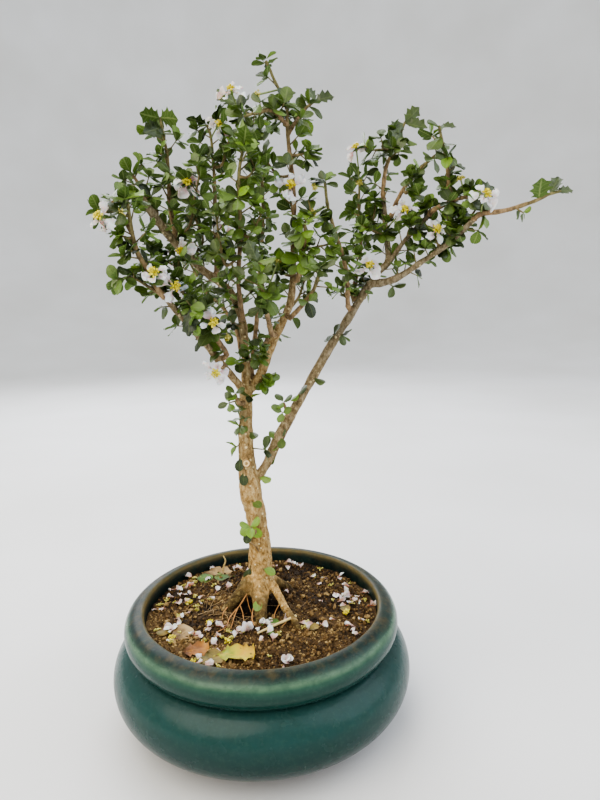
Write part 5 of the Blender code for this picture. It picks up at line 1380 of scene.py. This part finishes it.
def antherParts(centre, facing, radius, height, count, size, rng):
    # curled anthers on a low dome: each bead sits at a golden-angle step round the middle, at a
    # radius that goes with the square root of its number, and hangs on a thin thread
    k = np.arange(count)
    r = radius * np.sqrt((k + 0.5) / count)
    angle = k * goldenAngle + rng.uniform(0, turn)
    rise = height * (1 - 0.55 * (r / radius) ** 2) * rng.uniform(0.7, 1.15, count)
    spots = centre + r[:, None] * spokes(facing, angle) + np.outer(rise, facing)
    sizes = size * rng.uniform(0.55, 1.35, (count, 3))
    threads = [tubePart(np.array([centre + (spot - centre) * 0.1, (centre + spot) / 2 + facing * 0.2,
                                  spot]), 0.16, 4, 0.7, 0) for spot in spots]
    return [beadParts(spots, sizes, rng.uniform(0, 1, count), rng.randint(10000))] + threads


def petalMaterial(name, tones):
    # Thin petal: crumpled white tissue, flushed pink at the claw, or browner where it has lain.
    material, add, shader = newMaterial(name, {
        "Roughness": 0.6, "Subsurface Weight": 0.3, "Subsurface Scale": 0.0015,
        "Sheen Weight": 0.15})
    flush = add("Math", [objectNoise(add, 3.0), 0.5, bladeAxes(add)[1]], operation="MULTIPLY_ADD")
    aged = add("Math", [add("Attribute", attribute_name="tone"), -0.45, flush],
               operation="MULTIPLY_ADD")
    colour = add("ValToRGB", [aged], zip((0.05, 0.45, 0.95), tones))
    coverSurface(add, shader, colour, objectNoise(add, 0.9, 4.0, 0.65), 0.45)
    return material


def plainSkin(name, low, high, period, finish):
    # two close tones of one natural skin, mixed by noise of the given period in millimetres
    material, add, shader = newMaterial(name, finish)
    grain = add("Math", [objectNoise(add, period, 4.0), 0.6], operation="MULTIPLY")
    both = add("Math", [add("Attribute", attribute_name="tone"), 0.5, grain],
               operation="MULTIPLY_ADD")
    colour = add("ValToRGB", [both], [(0.25, low), (0.85, high)])
    coverSurface(add, shader, colour, objectNoise(add, period * 0.4), 0.15, 0.8)
    return material


petalSkin = petalMaterial("thinWhitePetal", ["#cda4ac", "#e2d1d2", "#f5f1f1"])
fallenSkin = petalMaterial("witheredPetal", ["#8f5f4c", "#cfa59b", "#efe6e2"])
calyxSkin = plainSkin("greenCalyxSkin", "#4f6b2c", "#93a85c", 1.5, {"Roughness": 0.6})
antherSkin = plainSkin("powderyAnther", "#b5a416", "#f0e65c", 0.9, {"Roughness": 0.85})
driedAnther = plainSkin("driedAnther", "#8f8630", "#ded880", 0.9, {"Roughness": 0.9})
stalkSkin = plainSkin("greenStalkSkin", "#566b32", "#9aa568", 2.0, {"Roughness": 0.6})


def petalCurl(droop=(-0.10, 0.45)):
    # ranges of a petal's cup, droop, ripple, crumple, sway and phase
    return [(-0.7, 0.8), droop, (0.06, 0.15), (0.20, 0.50), (-0.25, 0.25), (0.0, turn)]


def makeFlower(index, centre, facing):
    # five petals a fifth of a turn apart round the calyx, each tilted, turned and sized at
    # random, and the boss of anthers in their middle
    rng = np.random.RandomState(300 + index)
    facing, centre = unit(facing), np.asarray(centre, float)
    rng.uniform(-0.8, 0.8, (5, 6))                      # keeps the solid's draws in their order
    tilts = rng.uniform(*bloom["tilt"], 5)
    phase = rng.uniform(0, 2)
    petals = []
    for k in range(5):
        angle = phase + (k + 0.5) * turn / 5 + rng.normal(0, bloom["turnSpread"])
        outward = spokes(facing, angle)
        axis = unit(outward + facing * (tilts[k] + rng.normal(0, bloom["tiltSpread"])))
        normal = across(facing + rng.normal(0, bloom["faceSpread"], 3), axis)
        whole = bloomSizes.get(index, 1.0)
        size = (bloom["petalLength"] * rng.uniform(*bloom["lengths"]) * whole,
                bloom["petalWidth"] * rng.uniform(*bloom["widths"]) * whole)
        petals.append(makeBlade(centre - facing * 0.3 + outward * 0.7, axis, normal, size,
                                rng.uniform(0, 1), petalCurl(), rng))
    back = centre - facing * bloom["calyxHeight"]
    cup = tubePart(np.array([back - facing * 0.3, back + facing * 0.4, centre + facing * 0.1]),
                   [0.7, 1.1, 0.9], 10, 0.5, 1)
    name = "%02d" % index
    addPiece("blossom_" + name, [bladeParts(petalShape, petals, bloom["thickness"], (0, 0)), cup],
             [petalSkin, calyxSkin], ["petals_" + name])
    boss = antherParts(centre + facing * 0.3, facing, bloom["bossRadius"], bloom["bossHeight"],
                       bloom["anthers"], bloom["antherSize"], rng)
    addPiece("anthers_" + name, boss, [antherSkin], ["stamens_" + name])


def makeStalksAndSpent():
    # a stalk to each flower's back, and to each spent boss, which faces away from its wood
    stalks, bosses = [], []
    for centre, facing, carrier in flowers:
        facing = unit(facing)
        stalks.append(stalkPart(carrier, np.asarray(centre, float) - facing * 1.2, facing))
    for index, (centre, carrier) in enumerate(spent):
        centre = np.asarray(centre, float)
        path, radii = carrierPath(carrier)
        away = unit(centre - nearestOn(path, radii, centre)[0])
        stalks.append(stalkPart(carrier, centre, away))
        rng = np.random.RandomState(500 + index)
        bosses += antherParts(centre - away * 0.3, away, bloom["spentRadius"], 2.0, 11, 0.55, rng)
    addPiece("flower_stalks", stalks, [stalkSkin])
    addPiece("spent_flowers", bosses, [driedAnther])


for index, (centre, facing, carrier) in enumerate(flowers):
    makeFlower(index, centre, facing)
makeStalksAndSpent()
print("flowers opened:", len(flowers))


# What lies on the soil: leaves, petals, anthers, a stick and fine roots

# Fallen leaves: piece, stalk end (x, y), heading, (length, width), outline, colour and nodes
fallenLeaves = [
    ("fallen_yellow_leaf", (-20.8, -39.2), (1.0, -0.02), (17.0, 10.5), "spined", "yellow",
     ["fallen_leaf_yellow"]),
    ("fallen_brown_leaf", (-36.0, -34.5), (1.0, 0.10), (11.5, 10.0), "spined", "brown",
     ["fallen_leaf_brown"]),
    ("fallen_olive_leaf", (-29.5, -43.0), (1.0, 0.30), (13.0, 10.0), "round", "olive", []),
    ("fallen_tan_leaf", (-43.5, -21.5), (0.85, 0.45), (11.0, 10.5), "round", "tan", []),
    ("fallen_tan_leaf_back", (-33.0, 43.0), (1.0, 0.05), (17.0, 9.0), "holly", "tan", []),
    ("fallen_green_leaf_a", (-37.5, 36.5), (1.0, 0.08), (10.0, 8.0), "round", "green", []),
    ("fallen_green_leaf_b", (-17.0, 37.5), (-1.0, 0.02), (10.0, 8.0), "round", "green", []),
    ("fallen_green_leaf_c", (1.0, -16.5), (1.0, 0.05), (7.0, 4.0), "round", "green", []),
    ("fallen_green_leaf_d", (4.5, -27.5), (-0.2, 1.0), (8.0, 4.5), "holly", "green", []),
    ("fallen_green_leaf_e", (-51.5, -19.0), (1.0, 0.30), (8.0, 4.5), "round", "olive", []),
    ("fallen_green_leaf_f", (22.0, -22.5), (0.8, 0.40), (5.5, 4.0), "round", "olive", []),
    ("fallen_green_leaf_g", (40.0, -3.0), (0.4, -0.60), (6.0, 4.5), "round", "olive", [])]

leafTones = dict(yellow=["#858f20", "#bbae2a", "#c49d26"], brown=["#5a3408", "#84500a", "#a06c14"],
                 olive=["#46461a", "#746426", "#8e7a36"], tan=["#66502c", "#8a7044", "#a89062"],
                 green=["#263d10", "#3b5c18", "#5d7f28"])

spinedLeaf = dict(t=[0, 0.08, 0.20, 0.26, 0.33, 0.54, 0.70, 0.76, 0.83, 0.92, 0.97, 1.0],
                  w=[0.03, 0.14, 0.38, 0.60, 0.42, 0.43, 0.42, 0.64, 0.42, 0.38, 0.50, 0.06],
                  columns=7, waves=1.8)

# A fallen leaf's cup, droop, ripple, crumple, sway and phase, as values or ranges
fallenCurl = [(-0.25, 0.30), 0.02, 0.05, 0.12, (-0.1, 0.1), (0.0, turn)]


def fallenMaterial(kind, tones):
    # Leaf that is drying out: duller than a live one, with a brown rim and a few dark spots.
    material, add, shader = newMaterial(kind + "FallenLeaf", {"Roughness": 0.62})
    x, y = bladeAxes(add)
    ageing = add("Math", [y, 0.35, -0.10], operation="MULTIPLY_ADD")
    patches = add("Math", [objectNoise(add, 6.0, 4.0), 0.9, ageing], operation="MULTIPLY_ADD")
    blade = add("ValToRGB", [patches], zip((0.35, 0.52, 0.72), tones))
    aside = add("Math", [x], operation="ABSOLUTE")
    rim = add("Math", [aside, 6.0], operation="POWER")
    spots = add("ValToRGB", [cellDistance(add, 4.2)], [(0.10, white), (0.17, black)])
    spotted = tinted(add, blade, (rim, 0.55, "#6b4a22"), (spots, 0.7, "#3a2a16"))
    midrib = add("MapRange", {"Value": aside, "From Min": 0.03, "From Max": 0.10, "To Min": 0.5,
                              "To Max": 0.0})
    coverSurface(add, shader, add("Mix", [midrib, spotted, tones[2]], data_type="RGBA"),
                 objectNoise(add, 1.2, 4.0), 0.3, 0.8)
    return material


def dropLeaves():
    # blades laid flat on the grit, a little tilted, each with a curl of its own
    looks = {kind: fallenMaterial(kind, tones) for kind, tones in leafTones.items()}
    for index, (name, start, heading, size, kind, colour, nodes) in enumerate(fallenLeaves):
        rng = np.random.RandomState(950 + index)
        axis = unit(np.array([*heading, rng.uniform(0.0, 0.10)]))
        base = np.array([*start, soilHeight(*start) + 1.0])
        blade = makeBlade(base, axis, across(up + [0, -0.2, 0] + rng.normal(0, 0.10, 3), axis), size,
                          0.5, fallenCurl, rng)
        shape = dict(holly=hollyLeaf, round=roundLeaf, spined=spinedLeaf)[kind]
        stalk = tubePart(np.array([base - axis * 1.6, base - axis * 0.6, base + axis * 0.8]),
                         0.25, 5, 0.5, 0)
        addPiece(name, [bladeParts(shape, [blade], 0.25, (0, 0)), stalk], [looks[colour]],
                 nodes)


# Petals and anthers lie in drifts: middle (x, y), spread, petals, anthers
drifts = [((-40, 2), 9, 8, 8), ((-31, -21), 8, 8, 8), ((-38, 33), 8, 5, 5), ((-14, -18), 7, 5, 2),
          ((-44, 18), 7, 7, 5), ((-30, -42), 6, 4, 4), ((46, 2), 7, 11, 3), ((42, 26), 5, 4, 1),
          ((24, -14), 5, 5, 3), ((4, -17), 4, 4, 1), ((9, -47), 3, 1, 0), ((49, -24), 4, 4, 1),
          ((-15, 48), 4, 4, 1), ((12, 52), 7, 4, 1), ((24, 36), 7, 2, 0), ((-2, 0), 34, 10, 7)]

# Flowers shed nearly whole: middle (x, y) and size, four petals each
heaps = [((-7.8, -20.5), 5.4), ((9.5, -47.0), 4.8), ((-45.0, -15.0), 5.0), ((1.5, -14.5), 4.4),
         ((44.0, 8.0), 4.6)]

# Bosses shed whole, still yellow
freshBosses = [(-37.8, 9.6), (-43.0, -22.5), (-25.9, -11.1), (-16.4, -27.9), (-31.6, -43.1),
               (42.4, -8.5)]


def layPetal(x, y, axis, normal, size, tone, droop, rng):
    # one petal a little above the soil, its face square to its axis
    return makeBlade(np.array([x, y, soilHeight(x, y) + 0.9]), axis, across(normal, axis), size, tone,
                     petalCurl(droop), rng)


def dropPetals():
    # each drift is a bell-shaped scatter, kept off the pot's wall; in a heap the petals point
    # by turns to either side
    rng = np.random.RandomState(777)
    petals, spots = [], []
    usual = np.array([bloom["petalLength"], bloom["petalWidth"]])
    for middle, spread, petalCount, antherCount in drifts:
        for number in range(petalCount + antherCount):
            place = np.array(middle) + rng.normal(0, spread, 2)
            x, y = place * min(1.0, soil["litterReach"] / math.hypot(*place))
            if number < petalCount:
                heading = rng.uniform(0, turn)
                axis = unit([math.cos(heading), math.sin(heading), rng.uniform(-0.05, 0.35)])
                size = usual * rng.uniform(0.46, 0.86)
                petals.append(layPetal(x, y, axis, up + rng.normal(0, 0.35, 3), size,
                                       rng.uniform(0, 1), (-0.2, 0.3), rng))
            else:
                spots.append((x, y, soilHeight(x, y) + 0.8))
    for middle, size in heaps:
        for k in range(4):
            heading = rng.uniform(-0.5, 0.5) + (0 if k % 2 else math.pi)
            axis = unit([math.cos(heading), math.sin(heading), rng.uniform(0.2, 0.9)])
            x, y = np.array(middle) + rng.normal(0, 0.9, 2) - axis[:2] * size * 0.5
            petals.append(layPetal(x, y, axis, np.array([0, -0.5, 1.0]) + rng.normal(0, 0.5, 3),
                                   np.array([1.0, 0.8]) * size * rng.uniform(0.7, 1.1),
                                   rng.uniform(0, 0.4), (-0.2, 0.4), rng))
    shape = dict(petalShape, t=petalShape["t"][::2] + [1.0], w=petalShape["w"][::2] + [0.18],
                 columns=5)
    addPiece("fallen_petals", [bladeParts(shape, petals, 0.15, (0, 0))], [fallenSkin])
    return spots, rng


def dropAnthers(spots, rng):
    # small clumps of dried anthers at the spots, and the whole bosses
    bits = []
    for spot in spots:
        bits += antherParts(np.array(spot) - up * 0.6, unit(up + rng.normal(0, 0.3, 3)),
                            rng.uniform(0.8, 1.9), 1.0, rng.randint(3, 9), 0.5, rng)
    for x, y in freshBosses:
        place = np.array([x, y, soilHeight(x, y) + 0.3])
        for part in antherParts(place, unit(up + rng.normal(0, 0.3, 3)), 1.7, 1.5, 10, 0.6, rng):
            bits.append(dict(part, quadMaterial=part["quadMaterial"] + 1,
                             triMaterial=part["triMaterial"] + 1))
    addPiece("fallen_anthers", bits, [driedAnther, antherSkin])


# Fine roots that run out of the trunk's foot over the hollows, (points, first and last radius)
fineRoots = [
    ([(-6.5, 2.5, 60), (-9.5, -1.5, 56.5), (-12.3, -3.5, 53.5), (-16.2, -8.6, 51.4),
      (-17.9, -15.8, 50.6), (-22.0, -19.0, 50.0)], 0.42, 0.22),
    ([(-11.3, -3.0, 54.5), (-9.9, -7, 52.4), (-9.3, -12.1, 50.0)], 0.30, 0.18),
    ([(-12.3, -3.5, 53.5), (-14.0, -9, 51.8), (-15.5, -17, 50.2)], 0.34, 0.20),
    ([(-3.4, -3.0, 57), (-4.9, -9.5, 54.0), (-5.0, -14.3, 51.8), (-2.4, -19.1, 50.2)], 0.36, 0.22),
    ([(-16, 0, 54), (-19.5, -5, 52.2), (-20.0, -9, 50.0)], 0.34, 0.20),
    ([(-8.0, 1.0, 58), (-6.6, -3.0, 53.0), (-4.4, -8.0, 50.2)], 0.26, 0.18),
    ([(9.5, -4, 56), (6.4, -8, 52.6), (5.5, -12, 50.2)], 0.28, 0.18),
    ([(14, -13, 53), (11.0, -16.5, 51.4), (8.5, -18.5, 50.2)], 0.28, 0.18)]

# Dead fibres on the soil: middle (x, y), spread, count
fibrePatches = [((-25, 2), 8, 34), ((-14, -10), 6, 16), ((16, -4), 9, 14), ((-28, 24), 9, 12)]


# Thin dry things, as taperedTube takes them: points, step, (first and last radius), corners,
# tone, material number and unevenness
stick = ([(-2.5, -23.2, 50.8), (4.0, -19.6, 51.6), (16.5, -13.4, 53.0)], 1.5, (0.55, 0.75), 8, 0.6, 0,
         0.10, 3.0)
tendril = ([(-22.5, 44.5, 50.6), (-21.6, 44, 54), (-20.6, 44, 57), (-21.8, 44, 60)], 1.2, (0.6, 0.35),
           7, 0.4, 0, 0.12)
snag = ([(-6.4, 2.6, 86.0), (-4.4, 1.2, 85.6), (-2.2, 0.9, 83.6), (-1.2, 1.6, 81.0)], 1.2,
        (0.30, 0.42), 7, 0.1, 0, 0.12)


def makeFineRoots():
    # uneven tubes, each thinning towards its end
    parts = [taperedTube(points, 1.0, radii, 7, 0.5, 0, 0.18, 2.5, i)
             for i, (points, *radii) in enumerate(fineRoots)]
    look = plainSkin("orangeRootSkin", "#7a4c22", "#d9a468", 1.6, {"Roughness": 0.75})
    addPiece("fine_roots", parts, [look])


def strewFibres():
    # threads whose heading turns along them, each rising over the soil in one low sine arch
    rng = np.random.RandomState(66)
    fibres = []
    for middle, spread, count in fibrePatches:
        for x, y in np.array(middle) + rng.normal(0, spread, (count, 2)):
            heading, bend = rng.uniform(0, turn), rng.uniform(-0.8, 0.8)
            s = np.linspace(0, rng.uniform(4, 11), 6)
            x, y = x + s * np.cos(heading + bend * s / 8), y + s * np.sin(heading + bend * s / 8)
            path = np.stack([x, y, soilHeight(x, y) + 0.6 + 0.5 * np.sin(s / 2)], -1)
            fibres.append(tubePart(path, 0.14, 4, rng.uniform(0, 1), 0))
    dead = plainSkin("deadRootFibre", "#4e3a22", "#b39a72", 2.0, {"Roughness": 0.85})
    addPiece("root_fibres", fibres, [dead])


dropLeaves()
dropAnthers(*dropPetals())
makeFineRoots()
strewFibres()
straw = plainSkin("dryStraw", "#a88c4f", "#ecdba0", 2.0, {"Roughness": 0.7})
addPiece("dry_stick", [taperedTube(*stick), taperedTube(*tendril)], [straw])
addPiece("trunk_snag", [taperedTube(*snag)], [shootSkin])
print("litter strewn")
